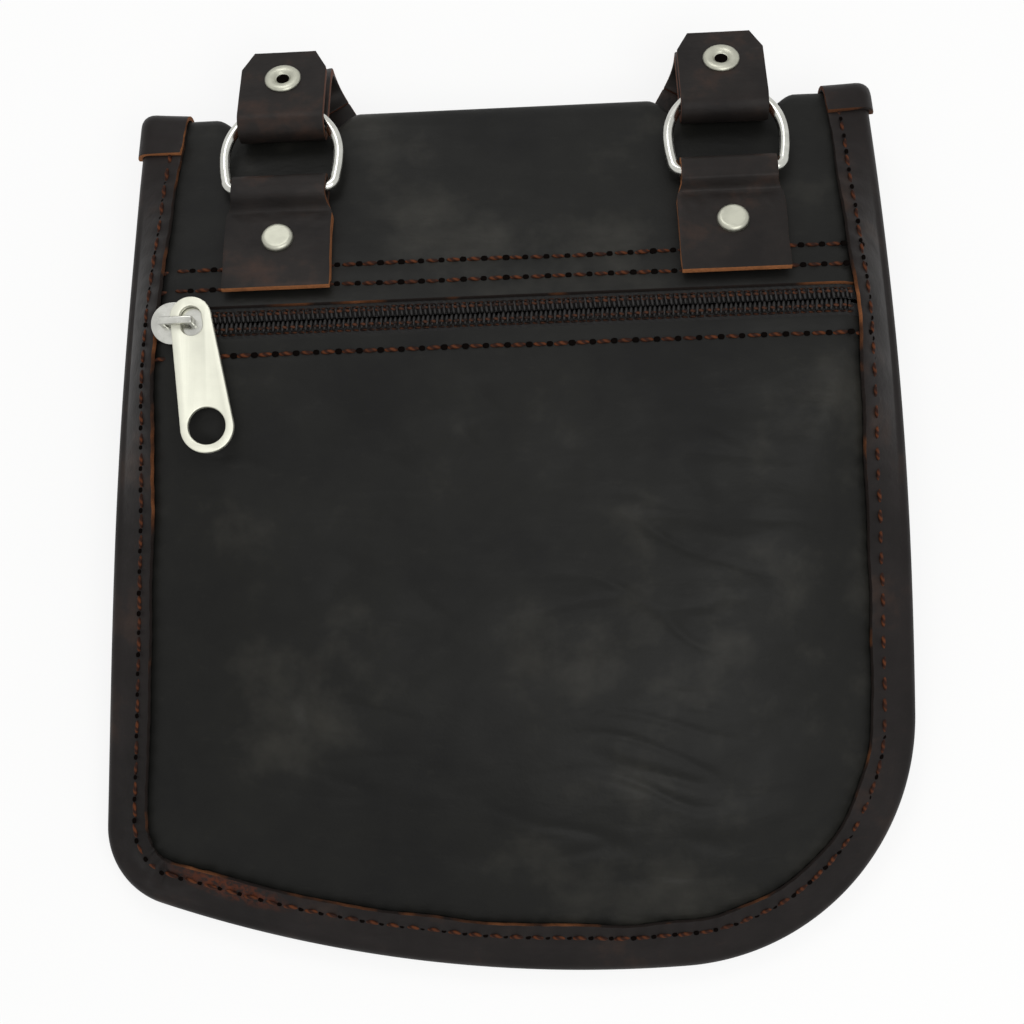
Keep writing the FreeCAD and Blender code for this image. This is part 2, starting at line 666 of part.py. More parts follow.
def snap_eyelet(x, tilt):
    """Rolled eyelet on the tail with a round hole in the middle."""
    z = STRAP_IN + STRAP_T
    disc = Part.makeCylinder(SNAP_R, 0.9, V(0, SNAP_Y, z))
    disc = disc.makeFillet(0.6, [e for e in disc.Edges if e.BoundBox.ZMin > z + 0.89])
    tube = Part.makeCylinder(STUD_R - 0.05, STRAP_T + 0.5, V(0, SNAP_Y, z - STRAP_T))
    hole = Part.makeCylinder(STUD_R - 0.4, STRAP_T + 2, V(0, SNAP_Y, z - STRAP_T + 0.4))
    return at_bow(disc.fuse(tube).removeSplitter().cut(hole), x, tilt)


# ---------------------------------------------------------------- assembly
def build():
    tilt = pouch_tilt()
    rad = math.radians(tilt)
    pouch = {
        "wrap_panel": wrap_panel(), "front_panel": front_panel(),
        "edge_binding": edge_binding(),
        "zip_tape_upper": zip_tape(1), "zip_tape_lower": zip_tape(-1),
        "zip_coil_upper": zip_coil(1), "zip_coil_lower": zip_coil(-1),
        "slider_body": slider_body(), "slider_bridge": slider_bridge(), "puller": puller(),
    }
    hand = {"handle_strap": handle_strap(rad)}
    for name, x in (("left", -TAB_X), ("right", TAB_X)):
        pouch["tab_" + name] = tab(x)
        pouch["rivet_cap_" + name] = rivet_cap(x)
        pouch["rivet_post_" + name] = rivet_post(x)
        pouch["d_ring_" + name] = ring(x)
        hand["handle_leg_" + name] = handle_leg(x, rad)
        hand["tail_" + name] = tail(x, rad)
        hand["snap_cap_" + name] = snap_cap(x, rad)
        hand["snap_socket_" + name] = snap_socket(x, rad)
        hand["snap_stud_" + name] = snap_stud(x, rad)
        hand["snap_eyelet_" + name] = snap_eyelet(x, rad)
        axis = Part.makeCylinder(POST_R + 0.02, 20, V(0, 0, -10))
        pouch["wrap_panel"] = one(pouch["wrap_panel"].cut(along_strip(axis, x, RIVET_Y)))
    for shape in pouch.values():
        shape.rotate(V(0, 0, 0), V(1, 0, 0), tilt)
    parts = dict(pouch, **hand)
    boxes = [s.optimalBoundingBox(False) for s in parts.values()]
    lo, hi = min(b.YMin for b in boxes), max(b.YMax for b in boxes)
    low_z = min(b.ZMin for b in boxes)
    mid = (min(b.XMin for b in boxes) + max(b.XMax for b in boxes)) / 2
    shift = V(-mid, -(lo + hi) / 2, -low_z)
    for shape in parts.values():
        shape.translate(shift)
    print("shift", shift)
    spin = FreeCAD.Placement(shift, FreeCAD.Rotation(V(1, 0, 0), tilt))
    bar, bow = on_strip(BAR_Y, BAR_LIFT), bow_centre(rad) + shift
    drop = math.radians(-TAIL_DROP)
    r = STRAP_IN + STRAP_T
    marks = {
        "tilt_deg": tilt, "low_z": low_z,
        "post": spin.multVec(V(post_x(), ZIP_Y, pull_z())),
        "slide": spin.multVec(V(SLIDER_X, ZIP_Y, slider_top_z())),
        "pull_hole": spin.multVec(V(
            post_x() + PULL_HOLE_Y * math.sin(math.radians(PULL_LEAN)),
            ZIP_Y - PULL_HOLE_Y * math.cos(math.radians(PULL_LEAN)), pull_z() + PULL_T / 2)),
        "bar": spin.multVec(bar), "bow": bow,
        "tail_hinge": bow + V(0, -r * math.sin(drop) + 0.05 * math.cos(drop),
                              r * math.cos(drop) + 0.05 * math.sin(drop)),
    }
    for key, value in marks.items():
        print(key, value)
    return parts


for node, solid in build().items():
    box = solid.optimalBoundingBox(False)
    print("%-18s valid %s solids %d vol %8.1f  x %.1f %.1f  y %.1f %.1f  z %.1f %.1f" % (
        node, solid.isValid(), len(solid.Solids), solid.Volume,
        box.XMin, box.XMax, box.YMin, box.YMax, box.ZMin, box.ZMax))
    solid.exportStep("parts/%s.step" % node)
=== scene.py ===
import json
import math

import bmesh
import bpy
import numpy as np
from mathutils import Matrix, Vector, noise


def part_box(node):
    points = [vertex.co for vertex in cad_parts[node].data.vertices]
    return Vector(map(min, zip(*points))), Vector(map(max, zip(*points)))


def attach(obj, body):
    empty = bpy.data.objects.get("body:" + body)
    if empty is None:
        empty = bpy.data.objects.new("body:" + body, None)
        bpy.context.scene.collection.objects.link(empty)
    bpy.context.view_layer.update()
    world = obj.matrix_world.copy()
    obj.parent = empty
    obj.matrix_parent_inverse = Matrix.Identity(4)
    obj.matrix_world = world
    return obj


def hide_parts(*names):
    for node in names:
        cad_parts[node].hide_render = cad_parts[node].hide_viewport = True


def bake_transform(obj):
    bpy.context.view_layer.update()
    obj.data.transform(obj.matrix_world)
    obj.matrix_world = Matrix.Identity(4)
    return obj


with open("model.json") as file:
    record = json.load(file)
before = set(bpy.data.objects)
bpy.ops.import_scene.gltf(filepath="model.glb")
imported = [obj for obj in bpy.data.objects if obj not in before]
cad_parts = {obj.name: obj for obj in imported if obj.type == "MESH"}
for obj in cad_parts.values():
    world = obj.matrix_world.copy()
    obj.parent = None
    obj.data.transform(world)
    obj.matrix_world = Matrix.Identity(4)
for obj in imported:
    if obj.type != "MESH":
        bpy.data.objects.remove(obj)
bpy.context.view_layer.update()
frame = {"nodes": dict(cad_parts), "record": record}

record = frame["record"]

# ---------------------------------------------------------------- the pouch's form
# A soft pouch about 198 mm wide, filled enough to crown in the middle. Its sides and round
# bottom are seams; its top edge is a fold. Sizes are mm in the pouch's own lie: x across,
# y up from the bottom edge, z up from its back, which the folded handle tilts a little.
MM = 0.001
TO_FOLD = 212.5
TOP_HALF, WIDEST_HALF, WIDEST_Y, HANG = 93.5, 102.0, 85.0, 4.0
LOW_LEFT, LOWEST, LOW_RIGHT = (-106.0, 24.0), (-8.0, 1.0), (95.2, 8.0)
CORNERS = (20.0, 62.0)
ZIP_Y, LIP = TO_FOLD - 51.5, 4.2
LEATHER, BINDING, EDGE_FLAT = 1.2, 1.1, 3.0
CREST_LOW, CREST_ZIP, CREST_FOLD = 23.0, 27.5, 10.8
DOME_LOW, DOME_ZIP = 60.0, 14.0          # how far in from the seams the pouch swells
SWIVEL_X, SWIVEL_Z = -76.95, 29.65

swivel = next(j for j in record["behaviour"]["joints"] if j["name"] == "puller_swivel")
lean = math.asin(-swivel["axis"][1])
shift_x = swivel["pos_m"][0] / MM - SWIVEL_X
fall = (CREST_ZIP - CREST_FOLD) / (TO_FOLD - ZIP_Y - LIP)
strip_slope = math.atan(fall)


def tipped(y, z):
    """The pouch's y and z turned by its lean over the folded handle."""
    return y * math.cos(lean) - z * math.sin(lean), y * math.sin(lean) + z * math.cos(lean)


swivel_y, swivel_z = tipped(ZIP_Y, SWIVEL_Z)
shift_y = swivel["pos_m"][1] / MM - swivel_y
shift_z = swivel["pos_m"][2] / MM - swivel_z


def laid(points):
    """Pouch millimetres to metres in the frame."""
    p = np.asarray(points, float)
    y, z = tipped(p[..., 1], p[..., 2])
    return np.stack([p[..., 0] + shift_x, y + shift_y, z + shift_z], -1) * MM


def circle_through(a, b, c):
    """Centre and radius of the circle through three points."""
    m = np.array([[b[0] - a[0], b[1] - a[1]], [c[0] - a[0], c[1] - a[1]]], float)
    sq = lambda p: p[0] ** 2 + p[1] ** 2
    centre = np.linalg.solve(2 * m, [sq(b) - sq(a), sq(c) - sq(a)])
    return centre, float(np.hypot(*(np.array(a) - centre)))


def rounded_corner(side, low, radius, s):
    """Centre of the fillet between a side arc and the bottom arc."""
    (c0, r0), (c1, r1) = side, low
    r0, r1 = r0 - radius, r1 - radius
    gap = np.hypot(*(c1 - c0))
    along = (r0 ** 2 - r1 ** 2 + gap ** 2) / (2 * gap)
    across = math.sqrt(r0 ** 2 - along ** 2)
    u = (c1 - c0) / gap
    found = [c0 + along * u + k * across * np.array([-u[1], u[0]]) for k in (-1, 1)]
    return min(found, key=lambda p: p[1] if s * p[0] > 0 else 1e9)


def turn_of(centre, point):
    """Angle of a point about a centre, from 0 to a full turn."""
    return math.atan2(point[1] - centre[1], point[0] - centre[0]) % (2 * math.pi)


def arc(centre, radius, start, stop):
    """Points about 1 mm apart along an arc, without its last one."""
    if stop < start:
        stop += 2 * math.pi
    t = np.linspace(start, stop, max(3, int((stop - start) * radius)), endpoint=False)
    return centre + radius * np.stack([np.cos(t), np.sin(t)], -1)


def pouch_outline():
    """Plan outline from left top round the bottom to right top, about 1 mm apart."""
    over = TO_FOLD + 30
    sides = [circle_through((s * (TOP_HALF - 1), over),
                            (s * WIDEST_HALF - HANG * sway, WIDEST_Y), end)
             for s, sway, end in ((-1, 0.3, LOW_LEFT), (1, 1.0, LOW_RIGHT))]
    low = circle_through(LOW_LEFT, LOWEST, LOW_RIGHT)
    left, right = [rounded_corner(side, low, r, s)
                   for side, r, s in zip(sides, CORNERS, (-1, 1))]
    tops = [turn_of(sides[i][0], (s * (TOP_HALF - 1), over)) for i, s in ((0, -1), (1, 1))]
    a, b = turn_of(sides[0][0], left), turn_of(low[0], left)
    c, d = turn_of(low[0], right), turn_of(sides[1][0], right)
    return np.vstack([arc(*sides[0], tops[0], a), arc(left, CORNERS[0], a, b),
                      arc(*low, b, c), arc(right, CORNERS[1], c, d),
                      arc(*sides[1], d, tops[1])])


rim = pouch_outline()
heading = np.gradient(rim, axis=0)
heading /= np.linalg.norm(heading, axis=1)[:, None]
rim_in = np.stack([-heading[:, 1], heading[:, 0]], -1)
rim_run = np.r_[0, np.cumsum(np.linalg.norm(np.diff(rim, axis=0), axis=1))]


def smooth(t):
    """Eased step from 0 to 1."""
    t = np.clip(t, 0, 1)
    return t * t * (3 - 2 * t)


def inset(x, y):
    """Distance in from the sides and the bottom, rounded where the corners meet."""
    shape = np.shape(x)
    x, y = np.ravel(x), np.ravel(y)
    out = np.empty(len(x))
    for k in range(0, len(x), 20000):
        d2 = ((x[k:k + 20000, None] - rim[None, :, 0]) ** 2
              + (y[k:k + 20000, None] - rim[None, :, 1]) ** 2)
        near = np.sqrt(d2.min(1))
        soft = (math.pi / 2 / (1 / (d2 * d2 + 1e-6)).sum(1)) ** (1 / 3)
        out[k:k + 20000] = np.where(near < 3, near,
                                    near + (soft - near) * np.clip((near - 3) / 3, 0, 1))
    return out.reshape(shape)


def seam_z(y):
    """Height of the edge seam, which lifts towards the pouch's mid length."""
    return BINDING + 1.5 + 8 * np.sin(math.pi * np.maximum(0, y) / 280) ** 2


def room(y):
    """Gap in mm between the two faces at the seams, wider near the fold."""
    return 3 + 3.4 * smooth((y - ZIP_Y - 12) / (TO_FOLD - ZIP_Y - 18))


def dome(x, y):
    """0 at the seams to 1 where the pouch is at its full depth."""
    reach = DOME_LOW - (DOME_LOW - DOME_ZIP) * smooth((y - 70) / (ZIP_Y - LIP - 75))
    d = np.maximum(0, inset(x, y) - EDGE_FLAT)
    return 1 - (1 - np.minimum(1, d / reach)) ** 2


def crest(y):
    """Height of the front's middle line."""
    lip = ZIP_Y - LIP
    low = CREST_LOW + (CREST_ZIP - CREST_LOW) * np.maximum(0, y) / lip
    return np.where(y < lip, low, CREST_ZIP - fall * np.maximum(0, y - ZIP_Y - LIP))


def front_z(x, y):
    """Height of the front face."""
    edge = seam_z(y) + room(y) / 2
    return edge + (crest(y) - edge) * dome(x, y)


def back_z(x, y):
    """Height of the back face, which lies flat past its seams."""
    edge = seam_z(y) - room(y) / 2
    return edge + (BINDING - edge) * dome(x, y)


def side_limits(y, back):
    """Left and right ends of the panel at height y, set back from the outline."""
    line = rim + rim_in * back
    low = int(np.argmin(line[:, 1]))
    left, right = line[:low + 1][::-1], line[low:]
    return np.interp(y, left[:, 1], left[:, 0]), np.interp(y, right[:, 1], right[:, 0])


# ---------------------------------------------------------------- leather and its finishes
# Drum-dyed cowhide, nearly black with a brown cast, waxed and gone cloudy with handling.
# Cut edges are left raw and show the tan core.
def paint(code):
    """sRGB hex to linear colour with alpha."""
    rgb = [int(code[i:i + 2], 16) / 255 for i in (0, 2, 4)]
    return [c / 12.92 if c <= 0.04045 else ((c + 0.055) / 1.055) ** 2.4 for c in rgb] + [1.0]


def per_m(size_mm):
    """Texture scale on Object coordinates for a feature of this real size."""
    return 1000.0 / size_mm


def add(tree, kind, inputs=None, **settings):
    """Add a node with its settings and links."""
    node = tree.nodes.new(kind)
    for key, value in settings.items():
        setattr(node, key, value)
    for key, value in (inputs or {}).items():
        if isinstance(value, bpy.types.NodeSocket):
            tree.links.new(value, node.inputs[key])
        else:
            node.inputs[key].default_value = value
    return node


def new_material(name):
    """An empty material and its node tree."""
    material = bpy.data.materials.new(name)
    material.use_nodes = True
    material.node_tree.nodes.clear()
    return material, material.node_tree


def ramp(tree, fac, *stops):
    """Colour output of a ramp through (position, colour) stops."""
    node = add(tree, "ShaderNodeValToRGB", {"Fac": fac})
    points = node.color_ramp.elements
    while len(points) < len(stops):
        points.new(0.5)
    for point, (at, colour) in zip(points, stops):
        point.position = at
        point.color = colour
    return node.outputs["Color"]


RUB_TURN, RUB_SIZE = -0.35, (0.017, 0.0034, 0.012)       # radians, metres


def leather(name, deep, mid, worn, gloss=0.5, cloud_mm=38.0, grain=1.0, rubbed=None):
    """Waxed full-grain leather: cloudy colour, pebbled grain, fine creases, patchy sheen.

    Rubbed is a spot in metres where the finish has worn through to the rust-brown hide."""
    material, tree = new_material(name)
    at = add(tree, "ShaderNodeTexCoord").outputs["Object"]
    cloud = add(tree, "ShaderNodeTexNoise", {"Vector": at, "Scale": per_m(cloud_mm),
                "Detail": 5.0, "Roughness": 0.62}).outputs["Fac"]
    colour = ramp(tree, cloud, (0.36, deep), (0.55, mid), (0.74, worn))
    stretched = add(tree, "ShaderNodeMapping", {"Vector": at, "Rotation": (0, 0, 0.16),
                    "Scale": (0.4, 1.0, 1.0)}).outputs["Vector"]
    crease = add(tree, "ShaderNodeTexNoise", {"Vector": stretched, "Scale": per_m(7.0),
                 "Detail": 3.0, "Roughness": 0.5, "Distortion": 0.3}).outputs["Fac"]
    pebble = add(tree, "ShaderNodeTexVoronoi", {"Vector": at, "Scale": per_m(0.8),
                 "Randomness": 1.0}, feature="SMOOTH_F1").outputs["Distance"]
    scuff = add(tree, "ShaderNodeTexNoise", {"Vector": stretched, "Scale": per_m(2.2),
                "Detail": 6.0, "Roughness": 0.75}).outputs["Fac"]
    scuffed = ramp(tree, scuff, (0.58, (0, 0, 0, 1)), (0.8, (1, 1, 1, 1)))
    amount = add(tree, "ShaderNodeMath", {0: scuffed, 1: 0.32}, operation="MULTIPLY")
    colour = add(tree, "ShaderNodeMix", {0: amount.outputs[0], 6: colour, 7: worn},
                 data_type="RGBA").outputs[2]
    if rubbed:
        spot = add(tree, "ShaderNodeMapping", {"Vector": at, "Location": rubbed,
                   "Rotation": (0, 0, RUB_TURN), "Scale": RUB_SIZE},
                   vector_type="TEXTURE").outputs["Vector"]
        away = add(tree, "ShaderNodeVectorMath", {0: spot},
                   operation="LENGTH").outputs["Value"]
        patch = add(tree, "ShaderNodeMapRange", {"Value": away, "From Min": 1.1,
                    "From Max": 0.3}).outputs["Result"]
        fray = add(tree, "ShaderNodeTexNoise", {"Vector": at, "Scale": per_m(1.8),
                   "Detail": 4.0, "Roughness": 0.7}).outputs["Fac"]
        frayed = ramp(tree, fray, (0.4, (0, 0, 0, 1)), (0.58, (1, 1, 1, 1)))
        bare = add(tree, "ShaderNodeMath", {0: patch, 1: frayed}, operation="MULTIPLY")
        colour = add(tree, "ShaderNodeMix", {0: bare.outputs[0], 6: colour, 7: paint("522611")},
                     data_type="RGBA").outputs[2]
    rough = add(tree, "ShaderNodeMapRange", {"Value": cloud, "From Min": 0.3, "From Max": 0.7,
                "To Min": gloss + 0.08, "To Max": gloss - 0.05}).outputs["Result"]
    fine = add(tree, "ShaderNodeBump", {"Strength": 0.3 * grain, "Distance": 0.1 * MM,
               "Height": pebble}).outputs["Normal"]
    bumped = add(tree, "ShaderNodeBump", {"Strength": 0.7 * grain, "Distance": 0.5 * MM,
                 "Height": crease, "Normal": fine}).outputs["Normal"]
    shader = add(tree, "ShaderNodeBsdfPrincipled", {"Base Color": colour, "Roughness": rough,
                 "Normal": bumped, "IOR": 1.45, "Specular IOR Level": 0.15})
    add(tree, "ShaderNodeOutputMaterial", {"Surface": shader.outputs["BSDF"]})
    return material


panel_leather = leather("waxed_black_cowhide", paint("111110"), paint("171715"),
                        paint("2d2c28"))


def raw_edge(name, bare, tan="96603a"):
    """Cut edge of drum-dyed hide: tan fibres where the dye has not reached, dark where it has.

    Bare is the share of the edge that shows tan, as a shift of the dye's noise."""
    material, tree = new_material(name)
    at = add(tree, "ShaderNodeTexCoord").outputs["Object"]
    dye = add(tree, "ShaderNodeTexNoise", {"Vector": at, "Scale": per_m(16.0), "Detail": 3.0
              }).outputs["Fac"]
    fibre = add(tree, "ShaderNodeTexNoise", {"Vector": at, "Scale": per_m(0.7), "Detail": 3.0,
                "Roughness": 0.7}).outputs["Fac"]
    colour = ramp(tree, dye, (0.62 - bare, paint("1d1613")), (0.7 - bare, paint("56331c")),
                  (0.82 - bare, paint(tan)))
    light = ramp(tree, fibre, (0.3, (0.6, 0.6, 0.6, 1)), (0.7, (1, 1, 1, 1)))
    colour = add(tree, "ShaderNodeMix", {0: 1.0, 6: colour, 7: light}, data_type="RGBA",
                 blend_type="MULTIPLY").outputs[2]
    bumped = add(tree, "ShaderNodeBump", {"Strength": 0.5, "Distance": 0.2 * MM,
                 "Height": fibre}).outputs["Normal"]
    shader = add(tree, "ShaderNodeBsdfPrincipled", {"Base Color": colour, "Roughness": 0.85,
                 "Normal": bumped, "Specular IOR Level": 0.2})
    add(tree, "ShaderNodeOutputMaterial", {"Surface": shader.outputs["BSDF"]})
    return material


tan_edge = raw_edge("raw_cut_leather_edge", 0.1, "865432")


def relief(points, seed, rumple=1.0):
    """Height in mm that soft creases and slack add at each pouch point.

    Slack is long and low. A crease is a narrow valley that runs mostly across, where its
    band of leather has been bent often. Small is the softness of the hide itself."""
    flat = points.reshape(-1, 3)
    out = np.empty(len(flat))
    for i, (x, y, z) in enumerate(flat):
        slack = noise.fractal(Vector((x / 62, y / 34, seed)), 1.0, 2.0, 3)
        warp = 7 * noise.noise(Vector((x / 40, y / 40, seed + 5)))
        ridge = noise.noise(Vector((x / 46 + warp / 30, (y + 0.16 * x + warp) / 9.5,
                                    seed + 9)))
        band = noise.noise(Vector((x / 55, y / 45, seed + 14)))
        crease = max(0.0, 1 - abs(ridge) * 7) * max(0.0, band + 0.12)
        small = noise.fractal(Vector((x / 12, y / 6, seed + 20)), 1.0, 2.0, 2)
        out[i] = rumple * (1.15 * slack - 1.25 * crease + 0.14 * small)
    return out.reshape(points.shape[:-1])


def into_scene(name, mesh):
    """An object of this mesh, at the origin and linked."""
    obj = bpy.data.objects.new(name, mesh)
    bpy.context.scene.collection.objects.link(obj)
    return obj


def grid_mesh(name, points, materials):
    """Mesh over rows of points, numbered row by row."""
    rows, cols = points.shape[:2]
    index = np.arange(rows * cols).reshape(rows, cols)
    faces = np.stack([index[:-1, :-1], index[1:, :-1], index[1:, 1:], index[:-1, 1:]],
                     -1).reshape(-1, 4)
    mesh = bpy.data.meshes.new(name)
    mesh.from_pydata(points.reshape(-1, 3).tolist(), [], faces.tolist())
    mesh.validate()
    for material in materials:
        mesh.materials.append(material)
    mesh.shade_smooth()
    return into_scene(name, mesh)


def with_thickness(obj, thick_mm, round_mm=0.3):
    """Give a skin its leather thickness inwards, and ease its cut edges."""
    wall = obj.modifiers.new("thickness", "SOLIDIFY")
    wall.thickness, wall.offset = thick_mm * MM, -1
    wall.use_even_offset = False
    wall.material_offset_rim = 1
    ease = obj.modifiers.new("eased_edges", "BEVEL")
    ease.width, ease.segments, ease.limit_method = round_mm * MM, 2, "ANGLE"
    ease.angle_limit = math.radians(50)
    return obj


# ---------------------------------------------------------------- pouch panels
# One piece of leather makes the back, the top fold and the strip above the zip; a second
# makes the front below the zip. Both are 1.2 mm, and slack enough to crease.
COLUMNS = 190
CUT_Y = 3.05                             # where both panels end, just in from the bottom
RIVET_Y, FOLD_BULGE = 186.0, 5.0
SEAMS = (ZIP_Y - 8.3, ZIP_Y + 9.0, ZIP_Y + 14.6)
across = np.linspace(-1, 1, COLUMNS)
tab_x = float(sum(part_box("tab_right")[k][0] for k in (0, 1)) / 2 / MM) - shift_x


def spaced(left, right):
    """A row of x values between the panel's ends, for each pair of ends."""
    mid, half = (left + right) / 2, (right - left) / 2
    return mid[..., None] + half[..., None] * across


def hold_still(x, y):
    """0 at seams, zip and hardware, where the leather can't move, to 1 in open leather."""
    away = smooth((inset(x, y) - 9) / 16)
    zip_gap = smooth((np.abs(y - ZIP_Y) - 7) / 14)
    tabs = 1.0
    for s in (-1, 1):
        tabs = tabs * smooth((np.hypot((x - s * tab_x) / 1.3, (y - RIVET_Y) / 1.5) - 13) / 10)
    return away * zip_gap * tabs


def pressed(x, y):
    """Depth in mm of the groove that each row of stitches pulls into the leather."""
    groove = sum(np.exp(-((y - row) / 1.5) ** 2) for row in SEAMS)
    return 0.34 * groove * smooth((inset(x, y) - 9) / 4)


front_rows = np.r_[np.linspace(CUT_Y, 14, 16), np.linspace(14, ZIP_Y - LIP, 158)[1:]]
x = spaced(*side_limits(front_rows, EDGE_FLAT))
y = np.repeat(front_rows[:, None], COLUMNS, 1)
front = np.stack([x, y, front_z(x, y)], -1)
front[..., 2] += relief(front, 3.0) * hold_still(x, y) - pressed(x, y)
front_panel = grid_mesh("front_leather", laid(front[::-1]), [panel_leather, tan_edge])
with_thickness(front_panel, LEATHER)
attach(front_panel, "bag")
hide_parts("front_panel")

strip_rows = np.linspace(ZIP_Y + LIP, TO_FOLD, 58)
x = spaced(*side_limits(strip_rows, EDGE_FLAT))
y = np.repeat(strip_rows[:, None], COLUMNS, 1)
strip = np.stack([x, y, front_z(x, y)], -1)
strip[..., 2] += relief(strip, 7.0, 0.6) * hold_still(x, y) * smooth((TO_FOLD - y) / 12)
strip[..., 2] -= pressed(x, y)
fold_x = x[-1]
fold_tip = front_z(fold_x, np.full(COLUMNS, TO_FOLD))
fold_turn = np.arctan((front_z(fold_x, np.full(COLUMNS, TO_FOLD - 2)) - fold_tip) / 2)
fold_low = back_z(fold_x, np.full(COLUMNS, TO_FOLD))
fold_r = (fold_tip - fold_low) / (1 + np.cos(fold_turn))
fold_y = TO_FOLD - fold_r * np.sin(fold_turn)
clear_of_handles = smooth((np.abs(np.abs(fold_x) - tab_x) - 10) / 9) * FOLD_BULGE
turns = np.linspace(0, 1, 15)[1:, None]
angle = (math.pi / 2 - fold_turn) * (1 - turns) - math.pi / 2 * turns
bulge = np.maximum(0, np.cos(angle)) ** 1.5 * clear_of_handles
fold = np.stack([np.repeat(fold_x[None], len(turns), 0),
                 fold_y + fold_r * np.cos(angle) + bulge,
                 fold_low + fold_r + fold_r * np.sin(angle)], -1)
back_rows = np.linspace(0, 1, 100)[1:, None]
y = fold_y * (1 - back_rows) + CUT_Y * back_rows
left, right = side_limits(y[:, COLUMNS // 2], EDGE_FLAT)
x = spaced(left, right)
back = np.stack([x, y, back_z(x, y)], -1)
back[..., 2] += np.abs(relief(back, 11.0, 0.5)) * smooth((inset(x, y) - 9) / 16)
wrap = np.concatenate([strip, fold, back])
wrap_panel = grid_mesh("wrap_leather", laid(wrap[::-1]), [panel_leather, tan_edge])
with_thickness(wrap_panel, LEATHER)
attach(wrap_panel, "bag")
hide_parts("wrap_panel")

# ---------------------------------------------------------------- edge binding
# A 25 mm strip of the same hide folded over both panel edges and sewn through, from one
# top corner round the bottom to the other. Its cut edge wanders and puckers between stitches.
STITCH_PITCH = 5.1
BINDING_W = 11.5
BINDING_OVER = 0.55 + BINDING
TIGHT_CORNER, CORNER_REACH, PUCKER = (-92.0, 24.0), 20.0, 1.5
binding_leather = leather("waxed_brown_black_cowhide", paint("151211"), paint("1c1817"),
                          paint("33261f"), cloud_mm=24.0,
                          rubbed=tuple(laid((-74.0, 23.2, 6.5))))
bare_edge = raw_edge("bare_cut_leather_edge", 0.34)
strap_edge = raw_edge("burnished_strap_edge", 0.34, "5c3625")

used = rim[:, 1] < TO_FOLD + 6.5
bind_at, bind_in, bind_run = rim[used], rim_in[used], rim_run[used]
wander = np.array([0.8 * noise.noise(Vector((s / 17, 2.0, 0))) for s in bind_run])
corner = np.exp(-(np.hypot(*(bind_at - TIGHT_CORNER).T) / CORNER_REACH) ** 2)
FLAT_ROWS = 9
flats = np.linspace(1, 0, FLAT_ROWS)
rounds = np.linspace(math.pi / 2, -math.pi / 2, 13)[1:-1]
HALF_ROWS = FLAT_ROWS + len(rounds) // 2


def leather_over(d, face, lift):
    """Points at distance d in from the outline, lifted off a panel face."""
    q = bind_at + bind_in * d[:, None]
    r = bind_at + bind_in * (d + 1)[:, None]
    z, ahead = face(q[:, 0], q[:, 1]), face(r[:, 0], r[:, 1])
    return np.column_stack([q, z + lift * np.hypot(1, ahead - z)])


rows = []
width = BINDING_W - EDGE_FLAT + wander
for f in flats:
    row = leather_over(EDGE_FLAT + width * f, front_z, BINDING_OVER)
    row[:, 2] += 0.28 * f * np.sin(bind_run * 2 * math.pi / STITCH_PITCH) + 0.25 * f * wander
    pucker = np.array([noise.noise(Vector((s / 3.2, 2.4 * f, 7.0))) for s in bind_run])
    row[:, 2] += corner * PUCKER * pucker * (0.4 + 0.6 * f)
    rows.append(row)
mid_z, round_r = seam_z(bind_at[:, 1]), room(bind_at[:, 1]) / 2 + BINDING_OVER
for a in rounds:
    q = bind_at + bind_in * (EDGE_FLAT - math.cos(a) * EDGE_FLAT)
    rows.append(np.column_stack([q, mid_z + round_r * math.sin(a)]))
for f in flats[::-1]:
    even = np.full(len(bind_at), EDGE_FLAT + (BINDING_W - EDGE_FLAT) * f)
    rows.append(leather_over(even, back_z, -BINDING_OVER))
binding = np.array(rows).transpose(1, 0, 2)
edge_binding = grid_mesh("bound_edge", laid(binding[:, ::-1]), [binding_leather, tan_edge])
with_thickness(edge_binding, BINDING, 0.25)
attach(edge_binding, "bag")
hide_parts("edge_binding")


def turned_end(side, down, edge):
    """The binding's loose end, carried over the top corner and this many mm down the front."""
    line = binding if side == "left" else binding[::-1]
    inward = bind_in[0] if side == "left" else bind_in[-1]
    lean_out = np.r_[np.full(FLAT_ROWS, math.pi / 2), rounds,
                     np.full(FLAT_ROWS, -math.pi / 2)]
    normal = np.column_stack([-np.cos(lean_out)[:, None] * inward, np.sin(lean_out)])
    raised = line + (BINDING + 0.15) * normal
    front, behind = raised[:, :HALF_ROWS + 1], raised[:, :HALF_ROWS - 1:-1]
    ahead = (line[0] - line[4])[HALF_ROWS]
    ahead = ahead / np.linalg.norm(ahead)
    half, mid = (front[0] - behind[0]) / 2, (front[0] + behind[0]) / 2
    tall = 1.6 + 0.5 * np.abs(half[:, 2:])
    over = [mid + half * math.cos(a) + ahead * tall * math.sin(a)
            for a in np.linspace(0, math.pi, 11)[1:-1]]
    points = np.concatenate([front[down::-1], over, behind[:4]])
    points = points if side == "left" else points[::-1]
    end = grid_mesh("binding_end_" + side, laid(points), [binding_leather, edge])
    with_thickness(end, BINDING, 0.25)
    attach(end, "bag")


turned_end("left", 8, bare_edge)
turned_end("right", 4, strap_edge)

